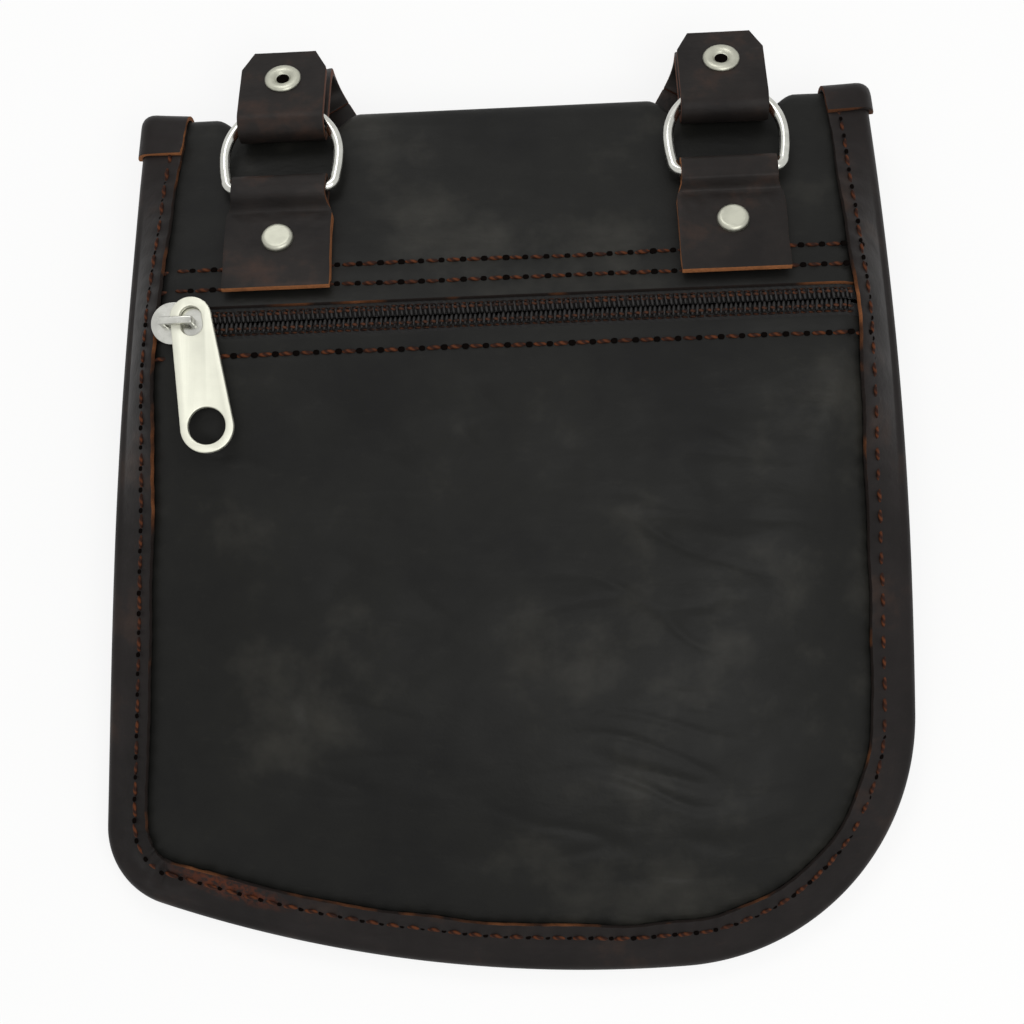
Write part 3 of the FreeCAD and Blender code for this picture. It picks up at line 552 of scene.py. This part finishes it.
# ---------------------------------------------------------------- zip
# A 6 mm coil zip with its tapes sewn behind the leather lips. Each coil is a nylon
# monofilament bound to its tape by a row of brown thread.
def woven_tape():
    """Polyester tape: twill of 0.5 mm ribs that catch the light in rows."""
    material, tree = new_material("black_polyester_tape")
    at = add(tree, "ShaderNodeTexCoord").outputs["Object"]
    ribs = add(tree, "ShaderNodeTexWave", {"Vector": at, "Scale": per_m(0.5) / (2 * math.pi),
               "Distortion": 0.4}, bands_direction="DIAGONAL").outputs["Fac"]
    colour = ramp(tree, ribs, (0.2, paint("0b0b0a")), (0.8, paint("171615")))
    bumped = add(tree, "ShaderNodeBump", {"Strength": 0.6, "Distance": 0.1 * MM,
                 "Height": ribs}).outputs["Normal"]
    shader = add(tree, "ShaderNodeBsdfPrincipled", {"Base Color": colour, "Roughness": 0.8,
                 "Normal": bumped, "Sheen Weight": 0.2})
    add(tree, "ShaderNodeOutputMaterial", {"Surface": shader.outputs["BSDF"]})
    return material


def twisted_thread(name, dark, light):
    """Waxed sewing thread: three plies laid at a slant, seen as fine oblique bands."""
    material, tree = new_material(name)
    at = add(tree, "ShaderNodeTexCoord").outputs["Object"]
    plies = add(tree, "ShaderNodeTexWave", {"Vector": at, "Scale": per_m(0.55) / (2 * math.pi),
                "Distortion": 0.8}, bands_direction="DIAGONAL").outputs["Fac"]
    wear = add(tree, "ShaderNodeTexNoise", {"Vector": at, "Scale": per_m(11.0)}).outputs["Fac"]
    mixed = add(tree, "ShaderNodeMath", {0: plies, 1: wear}, operation="MULTIPLY")
    colour = ramp(tree, mixed.outputs[0], (0.1, dark), (0.55, light))
    bumped = add(tree, "ShaderNodeBump", {"Strength": 0.6, "Distance": 0.12 * MM,
                 "Height": plies}).outputs["Normal"]
    shader = add(tree, "ShaderNodeBsdfPrincipled", {"Base Color": colour, "Roughness": 0.7,
                 "Normal": bumped, "Specular IOR Level": 0.15})
    add(tree, "ShaderNodeOutputMaterial", {"Surface": shader.outputs["BSDF"]})
    return material


def moulded_nylon(name, colour_code, rough, shine=0.3):
    """Drawn nylon: plain, faintly glossy, with slight draw lines."""
    material, tree = new_material(name)
    at = add(tree, "ShaderNodeTexCoord").outputs["Object"]
    lines = add(tree, "ShaderNodeTexNoise", {"Vector": at, "Scale": per_m(0.4)}).outputs["Fac"]
    value = add(tree, "ShaderNodeMapRange", {"Value": lines, "To Min": rough - 0.08,
                "To Max": rough + 0.1}).outputs["Result"]
    shader = add(tree, "ShaderNodeBsdfPrincipled", {"Base Color": paint(colour_code),
                 "Roughness": value, "IOR": 1.53, "Specular IOR Level": shine})
    add(tree, "ShaderNodeOutputMaterial", {"Surface": shader.outputs["BSDF"]})
    return material


tape_fabric = woven_tape()
chain_thread = twisted_thread("brown_chain_thread", paint("160c08"), paint("472817"))
coil_nylon = moulded_nylon("black_coil_nylon", "0e0c0b", 0.55)

TAPE_T = 0.5
TAPE_TOP = CREST_ZIP - LEATHER - 0.3
# The tapes and the chain's far end run on under the binding.
coil_ends = [v[0] / MM - shift_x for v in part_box("zip_coil_upper")]
coil_ends[1] += 2.6
tape_ends = [v[0] / MM - shift_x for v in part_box("zip_tape_upper")]
tape_ends[1] += 4.6
tape_ends[0] -= 7.5
for s, side in ((1, "upper"), (-1, "lower")):
    x, y = np.meshgrid(np.linspace(*tape_ends, 90), ZIP_Y + s * np.linspace(0.5, 12.8, 14))
    under_lip = front_z(x, np.full_like(x, ZIP_Y)) - CREST_ZIP + TAPE_TOP
    follow = np.minimum(under_lip, front_z(x, y) - LEATHER - 0.35)
    tape = np.stack([x, y, follow], -1)
    points = laid(tape[::-1] if s > 0 else tape)
    obj = grid_mesh("tape_" + side, points, [tape_fabric, tape_fabric])
    with_thickness(obj, TAPE_T, 0.1)
    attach(obj, "bag")
    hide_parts("zip_tape_" + side)


def repeat_tree(name):
    """Tree that sets one piece at even steps along a line.

    Inputs: Pitch, Piece, Material, Jitter (radians), Shift along the line, Seed."""
    tree = bpy.data.node_groups.new(name, "GeometryNodeTree")
    face = tree.interface
    face.new_socket("Geometry", in_out="INPUT", socket_type="NodeSocketGeometry")
    for label, kind in (("Pitch", "Float"), ("Piece", "Object"), ("Material", "Material"),
                        ("Jitter", "Float"), ("Shift", "Float"), ("Seed", "Int")):
        face.new_socket(label, in_out="INPUT", socket_type="NodeSocket" + kind)
    face.new_socket("Geometry", in_out="OUTPUT", socket_type="NodeSocketGeometry")
    start = add(tree, "NodeGroupInput").outputs
    line = add(tree, "GeometryNodeMeshToCurve", {"Mesh": start["Geometry"]})
    line = add(tree, "GeometryNodeResampleCurve", {"Curve": line.outputs[0],
               "Length": start["Pitch"]}, mode="LENGTH")
    tangent = add(tree, "GeometryNodeInputTangent").outputs[0]
    aim = add(tree, "FunctionNodeAlignRotationToVector", {"Vector": tangent}, axis="X",
              pivot_axis="Z")
    minus = add(tree, "ShaderNodeMath", {0: start["Jitter"], 1: -1.0}, operation="MULTIPLY")
    wobble = add(tree, "FunctionNodeRandomValue", {"Min": minus.outputs[0],
                 "Max": start["Jitter"], "Seed": start["Seed"]}, data_type="FLOAT")
    turn = add(tree, "ShaderNodeCombineXYZ", {"Z": wobble.outputs[1]})
    spun = add(tree, "FunctionNodeRotateRotation", {"Rotation": aim.outputs[0],
               "Rotate By": turn.outputs[0]}, rotation_space="LOCAL")
    piece = add(tree, "GeometryNodeObjectInfo", {"Object": start["Piece"]})
    size = add(tree, "FunctionNodeRandomValue", {"Min": 0.9, "Max": 1.08,
               "Seed": start["Seed"]}, data_type="FLOAT")
    placed = add(tree, "GeometryNodeInstanceOnPoints", {"Points": line.outputs[0],
                 "Instance": piece.outputs["Geometry"], "Rotation": spun.outputs[0],
                 "Scale": size.outputs[1]})
    offset = add(tree, "ShaderNodeCombineXYZ", {"X": start["Shift"]})
    moved = add(tree, "GeometryNodeTranslateInstances", {"Instances": placed.outputs[0],
                "Translation": offset.outputs[0]})
    real = add(tree, "GeometryNodeRealizeInstances", {"Geometry": moved.outputs[0]})
    smoothed = add(tree, "GeometryNodeSetShadeSmooth", {"Geometry": real.outputs[0]})
    coated = add(tree, "GeometryNodeSetMaterial", {"Geometry": smoothed.outputs[0],
                 "Material": start["Material"]})
    add(tree, "NodeGroupOutput", {"Geometry": coated.outputs[0]})
    return tree


repeats = repeat_tree("pieces_along_a_line")


def bead(name, length, wide, high, sink=0.0):
    """A small rounded piece along X, in mm, its middle raised and its ends sunk."""
    bm = bmesh.new()
    bmesh.ops.create_uvsphere(bm, u_segments=8, v_segments=6, radius=0.5)
    for v in bm.verts:
        v.co = Vector((v.co.z, v.co.y, v.co.x))
        v.co.x = math.copysign(abs(2 * v.co.x) ** 0.7 / 2, v.co.x)
        v.co = Vector((v.co.x * length, v.co.y * wide,
                       v.co.z * high - sink * (2 * v.co.x) ** 2)) * MM
    if bm.calc_volume(signed=True) < 0:
        bmesh.ops.reverse_faces(bm, faces=bm.faces)
    mesh = bpy.data.meshes.new(name)
    bm.to_mesh(mesh)
    bm.free()
    return bpy.data.objects.new(name, mesh)


def along(name, line, piece, pitch, material, jitter=0.0, shift=0.0, seed=1):
    """Plain mesh of pieces set along a line of frame points."""
    mesh = bpy.data.meshes.new(name + "_line")
    mesh.from_pydata([tuple(p) for p in line], [(i, i + 1) for i in range(len(line) - 1)], [])
    guide = into_scene(name + "_line", mesh)
    bpy.context.scene.collection.objects.link(piece)
    modifier = guide.modifiers.new("repeats", "NODES")
    modifier.node_group = repeats
    sockets = {s.name: s.identifier for s in repeats.interface.items_tree
               if s.in_out == "INPUT"}
    for label, value in (("Pitch", pitch * MM), ("Piece", piece), ("Material", material),
                         ("Jitter", jitter), ("Shift", shift * MM), ("Seed", seed)):
        modifier[sockets[label]] = value
    ready = guide.evaluated_get(bpy.context.evaluated_depsgraph_get())
    result = into_scene(name, bpy.data.meshes.new_from_object(ready))
    result.data.materials.clear()
    result.data.materials.append(material)
    guide.modifiers.remove(modifier)
    bpy.data.objects.remove(guide)
    bpy.data.objects.remove(piece)
    return result


def riding(body, slot_name, *objects):
    """Fix objects to a body. The slot name is not used."""
    for obj in objects:
        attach(obj, body)


COIL_PITCH, SEWN_PITCH = 1.15, 1.9
for s, side in ((1, "upper"), (-1, "lower")):
    x = np.linspace(coil_ends[0] + 0.4, coil_ends[1] - 0.4, 120)
    chain_z = front_z(x, np.full_like(x, ZIP_Y)) - CREST_ZIP + TAPE_TOP
    at = lambda off, up: laid(np.column_stack([x, np.full_like(x, ZIP_Y + s * off),
                                               chain_z + up]))
    turn_piece = bead("coil_turn", 2.9, 0.98, 1.5)
    turn_piece.data.transform(Matrix.Rotation(math.pi / 2 + 0.12 * s, 4, "Z"))
    coil = along("coil_" + side, at(1.35, 0.95), turn_piece, COIL_PITCH, coil_nylon,
                 shift=0.25 * COIL_PITCH * s)
    sewn = along("coil_thread_" + side, at(1.75, 1.62), bead("sewn", 1.5, 0.8, 0.5),
                 SEWN_PITCH, chain_thread, jitter=0.12, seed=5 + s)
    edge_row = along("tape_thread_" + side, at(2.85, 0.15), bead("sewn", 1.7, 0.6, 0.5),
                     SEWN_PITCH, chain_thread, jitter=0.1, seed=8 + s)
    riding("bag", "zip_coil", coil, sewn, edge_row)
    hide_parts("zip_coil_" + side)

# ---------------------------------------------------------------- seams
# Lockstitch in rust-brown waxed thread, about five to the inch: one row round the binding,
# one below the zip and two above it. Each stitch dips into its needle holes.
STITCH = (3.7, 1.05, 1.0, 0.38)           # length, width, height and dip at its ends
sewing_thread = twisted_thread("rust_brown_waxed_thread", paint("220e06"), paint("522a13"))
# Needle holes are drawn as flat dark beads between the stitches: painted shade for the holes'
# shadowed insides.
painted_hole_shade = moulded_nylon("painted_shade_needle_hole", "0c0908", 0.9, shine=0.0)


def stitched(name, line, slot_name="leather_binding", seed=3, hole=(1.3, 1.0, 0.36)):
    """A row of stitches along a line, with dark beads between them as painted shade in the
    needle holes.
    """
    thread = along(name, line, bead("stitch", *STITCH), STITCH_PITCH, sewing_thread,
                   jitter=0.09, seed=seed)
    holes = along(name + "_holes", line, bead("hole", *hole), STITCH_PITCH,
                  painted_hole_shade, shift=STITCH_PITCH / 2, seed=seed)
    riding("bag", slot_name, thread, holes)


seam_in = np.full(len(bind_at), 8.6) + 0.5 * wander
upper_row = leather_over(seam_in, front_z, BINDING_OVER + 0.12)
upper_row[:, 2] += 0.1 * np.sin(bind_run * 2 * math.pi / STITCH_PITCH)
stitched("binding_seam_front", laid(upper_row[4:-4]), seed=3)
stitched("binding_seam_back", laid(leather_over(seam_in, back_z, -BINDING_OVER + 0.3)[4:-4]),
         seed=4)
for number, row_y in enumerate(SEAMS):
    x = np.linspace(-85.5, 85.5, 150)
    drift = np.array([0.35 * noise.noise(Vector((v / 30, number * 3.0, 1))) for v in x])
    y = np.full_like(x, row_y) + drift
    row = np.column_stack([x, y, front_z(x, y) - 0.12])
    stitched("zip_seam_%d" % (number + 1), laid(row), slot_name="leather_panel",
             seed=11 + number, hole=(1.7, 1.4, 0.44))

# ---------------------------------------------------------------- ring tabs
# Two strips folded round the ring bars, both ends under one rivet. The fold is cut back at
# its ends to clear the ring's corners.
TAB_T, WIRE = 1.6, 1.4
FOLD_R = WIRE + 0.3 + TAB_T
BAR_UP = FOLD_R + 0.15
BAR_Y = TO_FOLD - 16.5
TAB_RUN = (BAR_Y - ZIP_Y - 7.0) / math.cos(strip_slope)
TAB_HALF, NECK, NECK_IN = 13.25, 6.6, 1.3
strap_leather = leather("brown_black_strap_leather", paint("161312"), paint("1e1a18"),
                        paint("35261f"), gloss=0.47, cloud_mm=14.0)


def on_strip(points, x, y):
    """Points built on +Y, +Z onto the sloping strip at x, y."""
    p = np.asarray(points, float)
    c, s = math.cos(strip_slope), math.sin(strip_slope)
    return laid(np.stack([p[..., 0] + x, y + p[..., 1] * c + p[..., 2] * s,
                          crest(np.float64(y)) - p[..., 1] * s + p[..., 2] * c], -1))


def tab_profile():
    """Outer skin from the top leaf's end, over the bar, to the under leaf's end.

    The leaf starts to rise at the neck, 6.6 mm below the bar."""
    ends = np.linspace(0, 1, 22)
    low = 0.15 + 2 * TAB_T
    leaf = np.column_stack([-TAB_RUN + (TAB_RUN - NECK) * ends, np.full(22, low)])
    leaf[:, 1] -= 0.35 * np.exp(-((leaf[:, 0] + NECK) / 1.8) ** 2)
    rise, top = np.linspace(0, 1, 9)[1:], BAR_UP + FOLD_R
    up = np.column_stack([-NECK + 2.5 * rise, low - 0.35 + (top - low) * smooth(rise)])
    crown = np.column_stack([[-3.5, -2.8, -2.0, -1.4], [top - 0.2, top - 0.1, top - 0.04, top]])
    up = np.vstack([up, crown])
    a = np.linspace(math.radians(104), math.radians(-90), 18)
    roll = np.column_stack([FOLD_R * np.cos(a), BAR_UP + FOLD_R * np.sin(a)])
    under = np.column_stack([(3 - TAB_RUN) * ends[1:], np.full(21, 0.15)])
    return np.vstack([leaf, up, roll, under])


profile = tab_profile()
for s, side in ((-1, "left"), (1, "right")):
    node = "tab_" + side
    step = np.linspace(-1, 1, 34)
    half = TAB_HALF - NECK_IN * smooth((profile[:, 0] + 7.4) / 2.5)
    wob = np.array([[noise.noise(Vector((u * 1.4 + s * 9, t[0] / 7, t[1] / 7))) for u in step]
                    for t in profile])
    x = half[:, None] * step + 0.25 * wob * np.abs(step) ** 4
    y = np.repeat(profile[:, :1], 34, 1)
    z = np.repeat(profile[:, 1:], 34, 1)
    near_fold = np.exp(-((profile[:, 0] + 10.5) / 3.5) ** 2) * (profile[:, 1] > 2)
    pinch = np.array([[noise.noise(Vector((u * 5 + s, t[0] / 1.6, 4.0))) for u in step]
                      for t in profile])
    z = z + near_fold[:, None] * 0.35 * pinch + np.where(z > 2, 0.12 * wob, 0)
    tab = grid_mesh("ring_" + node, on_strip(np.stack([x, y, z], -1)[::-1], s * tab_x, BAR_Y),
                    [strap_leather, bare_edge])
    with_thickness(tab, TAB_T - 0.04, 0.3)
    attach(tab, "bag")
    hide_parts(node)

# ---------------------------------------------------------------- metal parts
# Nickel plate on steel rings, zinc slider and brass rivets and studs; the long puller is
# cast zinc with a pale satin plate.
def plated(name, colour_code, rough, scratch, dull=0.82):
    """Nickel plate: bright metal with hairline scratches and slightly cloudy patches."""
    material, tree = new_material(name)
    at = add(tree, "ShaderNodeTexCoord").outputs["Object"]
    cloud = add(tree, "ShaderNodeTexNoise", {"Vector": at, "Scale": per_m(3.0), "Detail": 4.0
                }).outputs["Fac"]
    hair = add(tree, "ShaderNodeMapping", {"Vector": at, "Scale": (1.0, 9.0, 4.0)})
    lines = add(tree, "ShaderNodeTexNoise", {"Vector": hair.outputs[0], "Scale": per_m(2.5),
                "Detail": 3.0}).outputs["Fac"]
    base = paint(colour_code)
    colour = ramp(tree, cloud, (0.3, [c * dull for c in base[:3]] + [1.0]), (0.6, base))
    value = add(tree, "ShaderNodeMapRange", {"Value": cloud, "To Min": rough - 0.06,
                "To Max": rough + 0.1}).outputs["Result"]
    bumped = add(tree, "ShaderNodeBump", {"Strength": scratch, "Distance": 0.05 * MM,
                 "Height": lines}).outputs["Normal"]
    shader = add(tree, "ShaderNodeBsdfPrincipled", {"Base Color": colour, "Metallic": 1.0,
                 "Roughness": value, "Normal": bumped})
    add(tree, "ShaderNodeOutputMaterial", {"Surface": shader.outputs["BSDF"]})
    return material


bright_nickel = plated("bright_nickel_plate", "c4c4bd", 0.2, 0.15)
satin_nickel = plated("satin_nickel_plate", "b2b2a4", 0.42, 0.3)
pale_plate = plated("pale_satin_zinc", "d0d0c2", 0.5, 0.2, dull=0.95)


def eased_copy(node, material, width_mm):
    """The node's own shape as one closed mesh with its edges eased."""
    source = frame["nodes"][node]
    bm = bmesh.new()
    bm.from_mesh(source.data)
    bmesh.ops.remove_doubles(bm, verts=bm.verts, dist=1e-6)
    bmesh.ops.dissolve_limit(bm, angle_limit=math.radians(0.5), verts=bm.verts, edges=bm.edges)
    mesh = bpy.data.meshes.new(node + "_eased")
    bm.to_mesh(mesh)
    bm.free()
    mesh.materials.clear()
    mesh.materials.append(material)
    obj = into_scene(node + "_eased", mesh)
    ease = obj.modifiers.new("eased", "BEVEL")
    ease.width, ease.segments, ease.limit_method = width_mm * MM, 3, "ANGLE"
    ease.angle_limit = math.radians(40)
    mesh.shade_smooth()
    ease.harden_normals = True
    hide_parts(node)
    return obj


def coated(node, material):
    """Keep the CAD node and give it its finish."""
    mesh = frame["nodes"][node].data
    if not mesh.materials:
        mesh.materials.append(material)
    for i in range(len(mesh.materials)):
        mesh.materials[i] = material


riding("slider", "slider_nickel", eased_copy("slider_body", bright_nickel, 0.25),
       eased_copy("slider_bridge", bright_nickel, 0.3))
riding("puller", "puller_metal", eased_copy("puller", pale_plate, 0.3))
for side in ("left", "right"):
    for node in ("rivet_cap_", "rivet_post_", "snap_cap_", "snap_socket_", "snap_stud_"):
        coated(node + side, satin_nickel)
    coated("d_ring_" + side, bright_nickel)

# ---------------------------------------------------------------- handle
# One strap, 22 mm wide and 2 mm thick. Each end comes up over a ring's bow, turns back under
# itself and snaps shut; the middle is tucked flat under the pouch with one soft fold a side.
STRAP_W, STRAP_T = 22.0, 2.0
DROP = math.radians(22)
LEG, TAIL, CLIP, TURN = 17.0, 21.5, 6.0, math.radians(30)
GROUND_LEG, LOOP_R, SNAP_AT = 30.0, 4.75, 11.5
BEND_IN = WIRE + 1.2 + STRAP_T / 2
bow_mount = next(m for m in record["mounts"] if m["name"] == "ring_left_bow")
bow = np.array(bow_mount["pos_m"]) / MM - [shift_x, BEND_IN, 0]


def strap_end(along_mm, normal_mm):
    """Place on the sloping strap end, from how far along and how far off the bow centre."""
    return np.array([bow[0], bow[1] + along_mm * math.cos(DROP) + normal_mm * math.sin(DROP),
                     bow[2] - along_mm * math.sin(DROP) + normal_mm * math.cos(DROP)])


def arch_rows(count=46):
    """Middle line of the arch with width direction and outward normal."""
    x, y, z = strap_end(LEG, -BEND_IN)
    start, stop = -DROP, -math.pi
    radius = (z - STRAP_T / 2) / (math.cos(start) + 1)
    fine = 12 * count
    step = radius * (start - stop) / fine
    rows = []
    for i in range(fine + 1):
        t = i / fine
        pitch = start + (stop - start) * t
        yaw = TURN * t * t * (3 - 2 * t)
        ahead = np.array([-math.sin(yaw), math.cos(yaw), 0])
        if i % 12 == 0:
            normal = ahead * math.sin(pitch) + np.array([0, 0, -math.cos(pitch)])
            rows.append((np.array([x, y, z]), np.array([math.cos(yaw), math.sin(yaw), 0]),
                         normal))
        d = ahead * math.cos(pitch) + np.array([0, 0, math.sin(pitch)])
        x, y, z = np.array([x, y, z]) + d * step
    return rows


def in_frame(points):
    """Strap millimetres, measured from the pouch's middle, to metres in the frame."""
    return (points + [shift_x, 0, 0]) * MM


strap_across = np.linspace(-1, 1, 25)


def strap_skin(rows, widths=None):
    """Outer face of a strap through rows of (middle, width direction, outward normal)."""
    widths = widths if widths is not None else [STRAP_W / 2] * len(rows)
    return np.array([[c + w * half * u + n * STRAP_T / 2 for u in strap_across]
                     for (c, w, n), half in zip(rows, widths)])


def strap_wear(points, seed):
    """Slight curl and waviness of used strap leather, in mm along z."""
    return np.array([[0.16 * noise.fractal(Vector((p[0] / 9, p[1] / 9, p[2] / 9 + seed)), 1.0,
                                           2.0, 3) for p in row] for row in points])


arch = arch_rows()
half_turn = lambda a: (strap_end(-BEND_IN * math.cos(a), -BEND_IN * math.sin(a)),
                       np.array([1.0, 0, 0]),
                       (strap_end(-BEND_IN * math.cos(a) * 2, -BEND_IN * math.sin(a) * 2)
                        - strap_end(-BEND_IN * math.cos(a), -BEND_IN * math.sin(a))) / BEND_IN)
leg_normal = (strap_end(0, -1) - strap_end(0, 0))
tail_normal = -leg_normal
across_x = np.array([1.0, 0, 0])
leg_rows = [half_turn(a) for a in np.linspace(math.radians(30), math.pi / 2, 10)]
leg_rows += [(strap_end(a, -BEND_IN), across_x, leg_normal)
             for a in np.linspace(0, LEG, 16)[1:]]
leg_rows += [(c, w, n) for c, w, n in arch[1:]]
tail_at = TAIL * np.sin(np.linspace(math.pi / 2, 0, 40))
tail_rows = [(strap_end(a, BEND_IN), across_x, tail_normal) for a in tail_at]
tail_half = [STRAP_W / 2 - CLIP / 2 * max(0, (a - TAIL + CLIP) / CLIP) for a in tail_at]
loop_rows = [half_turn(a) for a in np.linspace(-math.pi / 2, math.radians(30), 18)[1:]]

end_mid, end_w, _ = arch[-1]
down = np.array([math.sin(TURN), -math.cos(TURN), 0])
run_in = np.array([math.cos(TURN), -math.sin(TURN), 0])
square = np.array([-math.sin(TURN), -math.cos(TURN), 0])
carry = math.pi * LOOP_R / math.tan(TURN)
crease_at = end_mid + down * GROUND_LEG
to_middle = GROUND_LEG + math.pi * LOOP_R / math.sin(TURN) - (crease_at + carry * run_in)[0]


def tucked_skin():
    """Outer face of the hidden middle: ground leg, rolled crease, bridge, left half."""
    out = []
    for s in np.linspace(0, to_middle, 62):
        row = []
        for u in strap_across:
            flat = down * (s - GROUND_LEG) + end_w * (u * STRAP_W / 2)
            q, reach = float(flat @ square), float(flat @ run_in)
            turn = min(math.pi, max(0.0, q / LOOP_R))
            over = q if q < 0 else -max(0.0, q - math.pi * LOOP_R)
            place = crease_at + run_in * reach + square * (LOOP_R * math.sin(turn) + over)
            place[2] = crease_at[2] + LOOP_R * (1 - math.cos(turn))
            normal = square * math.sin(turn) + np.array([0, 0, -math.cos(turn)])
            row.append(place + normal * STRAP_T / 2)
        out.append(row)
    return np.array(out)


middle = tucked_skin() + [0, 0, 0.05]     # just clear of the table
other = middle[-2::-1] * [-1, 1, 1]
handle = grid_mesh("handle_middle", in_frame(np.concatenate([middle, other])[:, ::-1]),
                   [strap_leather, strap_edge])
for side, s in (("left", 1), ("right", -1)):
    legs = strap_skin(leg_rows) * [s, 1, 1]
    legs[..., 2] += strap_wear(legs, 2.0 + s) * np.linspace(0, 1, len(legs))[::-1, None]
    tail = strap_skin(tail_rows + loop_rows, tail_half + [STRAP_W / 2] * len(loop_rows))
    tail = tail * [s, 1, 1]
    tail[..., 2] += strap_wear(tail, 6.0 + s) * np.linspace(1, 0, len(tail))[:, None]
    leg_obj = grid_mesh("handle_end_" + side, in_frame(legs), [strap_leather, strap_edge])
    tail_obj = grid_mesh("snap_tail_" + side, in_frame(tail), [strap_leather, strap_edge])
    for obj in (leg_obj, tail_obj):
        bm = bmesh.new()
        bm.from_mesh(obj.data)
        if s < 0:
            bmesh.ops.reverse_faces(bm, faces=bm.faces)
        bm.to_mesh(obj.data)
        bm.free()
        with_thickness(obj, STRAP_T, 0.45)
    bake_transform(leg_obj)
    a, b = strap_end(0.5, BEND_IN) * [s, 1, 1], strap_end(5.0, BEND_IN) * [s, 1, 1]
    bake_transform(tail_obj)
    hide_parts("handle_leg_" + side)
    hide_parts("tail_" + side)
with_thickness(handle, STRAP_T, 0.45)


def rolled_eyelet(side, s):
    """Eyelet of a press stud: brass rim rolled over the leather into a funnel, its floor a dark
    disc of painted shade.

    Rim rows are (radius, height) off the tail's face, from the outside in."""
    rim_rows = [(4.7, -0.1), (4.74, 0.2), (4.5, 0.6), (3.95, 0.92), (3.2, 1.0), (2.5, 0.8),
                (2.0, 0.42), (1.7, 0.08)]
    middle = strap_end(SNAP_AT, BEND_IN + STRAP_T / 2) * [s, 1, 1] + [shift_x, 0, 0]
    east, up = np.array([1.0, 0, 0]), tail_normal
    north = np.cross(up, east)
    bm = bmesh.new()
    round_it = np.linspace(0, 2 * math.pi, 40, endpoint=False)
    rings = [[bm.verts.new((middle + r * (east * math.cos(a) + north * math.sin(a)) + h * up)
                           * MM) for a in round_it] for r, h in rim_rows]
    for low, high in zip(rings[:-1], rings[1:]):
        for i in range(40):
            bm.faces.new((low[i], low[(i + 1) % 40], high[(i + 1) % 40], high[i])).smooth = True
    # The funnel's floor is a flat disc in the dark hole material: painted shade for the hole's
    # inside.
    bm.faces.new(rings[-1]).material_index = 1
    bm.faces.new(rings[0][::-1])
    mesh = bpy.data.meshes.new("eyelet_" + side)
    bm.to_mesh(mesh)
    bm.free()
    for material in (satin_nickel, painted_hole_shade):
        mesh.materials.append(material)
    eyelet = into_scene("eyelet_" + side, mesh)
    riding("tail_" + side, "snap_nickel", eyelet)
    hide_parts("snap_eyelet_" + side)


rolled_eyelet("left", 1)
rolled_eyelet("right", -1)
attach(handle, "bag")
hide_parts("handle_strap")

# ---------------------------------------------------------------- table, light and camera
# The pouch lies on a plain matt white table under even studio light, with a small lamp at
# its top edge and a larger one at its side. It is seen from almost straight above.
def seen_plainly(tree):
    """1 for what the camera or a gloss sees directly."""
    seen = add(tree, "ShaderNodeLightPath")
    return add(tree, "ShaderNodeMath", {0: seen.outputs["Is Camera Ray"],
               1: seen.outputs["Is Glossy Ray"]}, operation="MAXIMUM").outputs[0]


material, tree = new_material("matt_white_table")
share = add(tree, "ShaderNodeMath", {0: seen_plainly(tree), 1: 0.8}, operation="MULTIPLY")
white = add(tree, "ShaderNodeBsdfDiffuse", {"Color": paint("f4f4f2")})
glow = add(tree, "ShaderNodeEmission", {"Color": (1, 1, 1, 1), "Strength": 1.0})
both = add(tree, "ShaderNodeMixShader", {0: share.outputs[0], 1: white.outputs[0],
           2: glow.outputs[0]})
add(tree, "ShaderNodeOutputMaterial", {"Surface": both.outputs[0]})
mesh = bpy.data.meshes.new("table")
mesh.from_pydata([(-4, -4, 0), (4, -4, 0), (4, 4, 0), (-4, 4, 0)], [], [(0, 1, 2, 3)])
mesh.materials.append(material)
table = into_scene("table", mesh)

world = bpy.data.worlds.new("studio")
bpy.context.scene.world = world
world.use_nodes = True
world.node_tree.nodes.clear()
level = add(world.node_tree, "ShaderNodeMapRange", {"Value": seen_plainly(world.node_tree),
            "To Min": 0.6, "To Max": 1.0})
sky = add(world.node_tree, "ShaderNodeBackground", {"Color": (1, 1, 1, 1),
          "Strength": level.outputs["Result"]})
add(world.node_tree, "ShaderNodeOutputWorld", {"Surface": sky.outputs[0]})


def softbox(name, place, size, power):
    """A round lamp aimed at the pouch."""
    light = bpy.data.lights.new(name, "AREA")
    light.shape, light.size, light.energy = "DISK", size, power
    lamp = bpy.data.objects.new(name, light)
    lamp.location = place
    aim = Vector((0, 0, 0.02)) - Vector(place)
    lamp.rotation_euler = aim.to_track_quat("-Z", "Y").to_euler()
    bpy.context.scene.collection.objects.link(lamp)


softbox("key_lamp", (-0.10, 0.44, 0.56), 0.30, 0.9)
softbox("side_lamp", (0.20, -0.22, 0.66), 0.5, 2.0)

CAMERA = {"az": 12.96, "el": 79.45, "roll": -14.79, "away": 0.400, "view": 1600.25 / 1024}
target = Vector((shift_x * MM - 0.00066, -0.00659, 0.020))
a, e, r = (math.radians(CAMERA[k]) for k in ("az", "el", "roll"))
back_to = Vector((math.sin(a) * math.cos(e), -math.cos(a) * math.cos(e), math.sin(e)))
level_x = Vector((math.cos(a), math.sin(a), 0))
level_y = back_to.cross(level_x)
cam_x = math.cos(r) * level_x + math.sin(r) * level_y
cam_y = -math.sin(r) * level_x + math.cos(r) * level_y
data = bpy.data.cameras.new("camera")
data.sensor_width = 36.0
data.lens = 36.0 * CAMERA["view"]
data.clip_start = 0.01
camera = bpy.data.objects.new("camera", data)
place = Matrix((cam_x, cam_y, back_to)).transposed().to_4x4()
place.translation = target + back_to * CAMERA["away"]
camera.matrix_world = place
bpy.context.scene.collection.objects.link(camera)
bpy.context.scene.camera = camera

view = bpy.context.scene.view_settings
view.view_transform = "Standard"
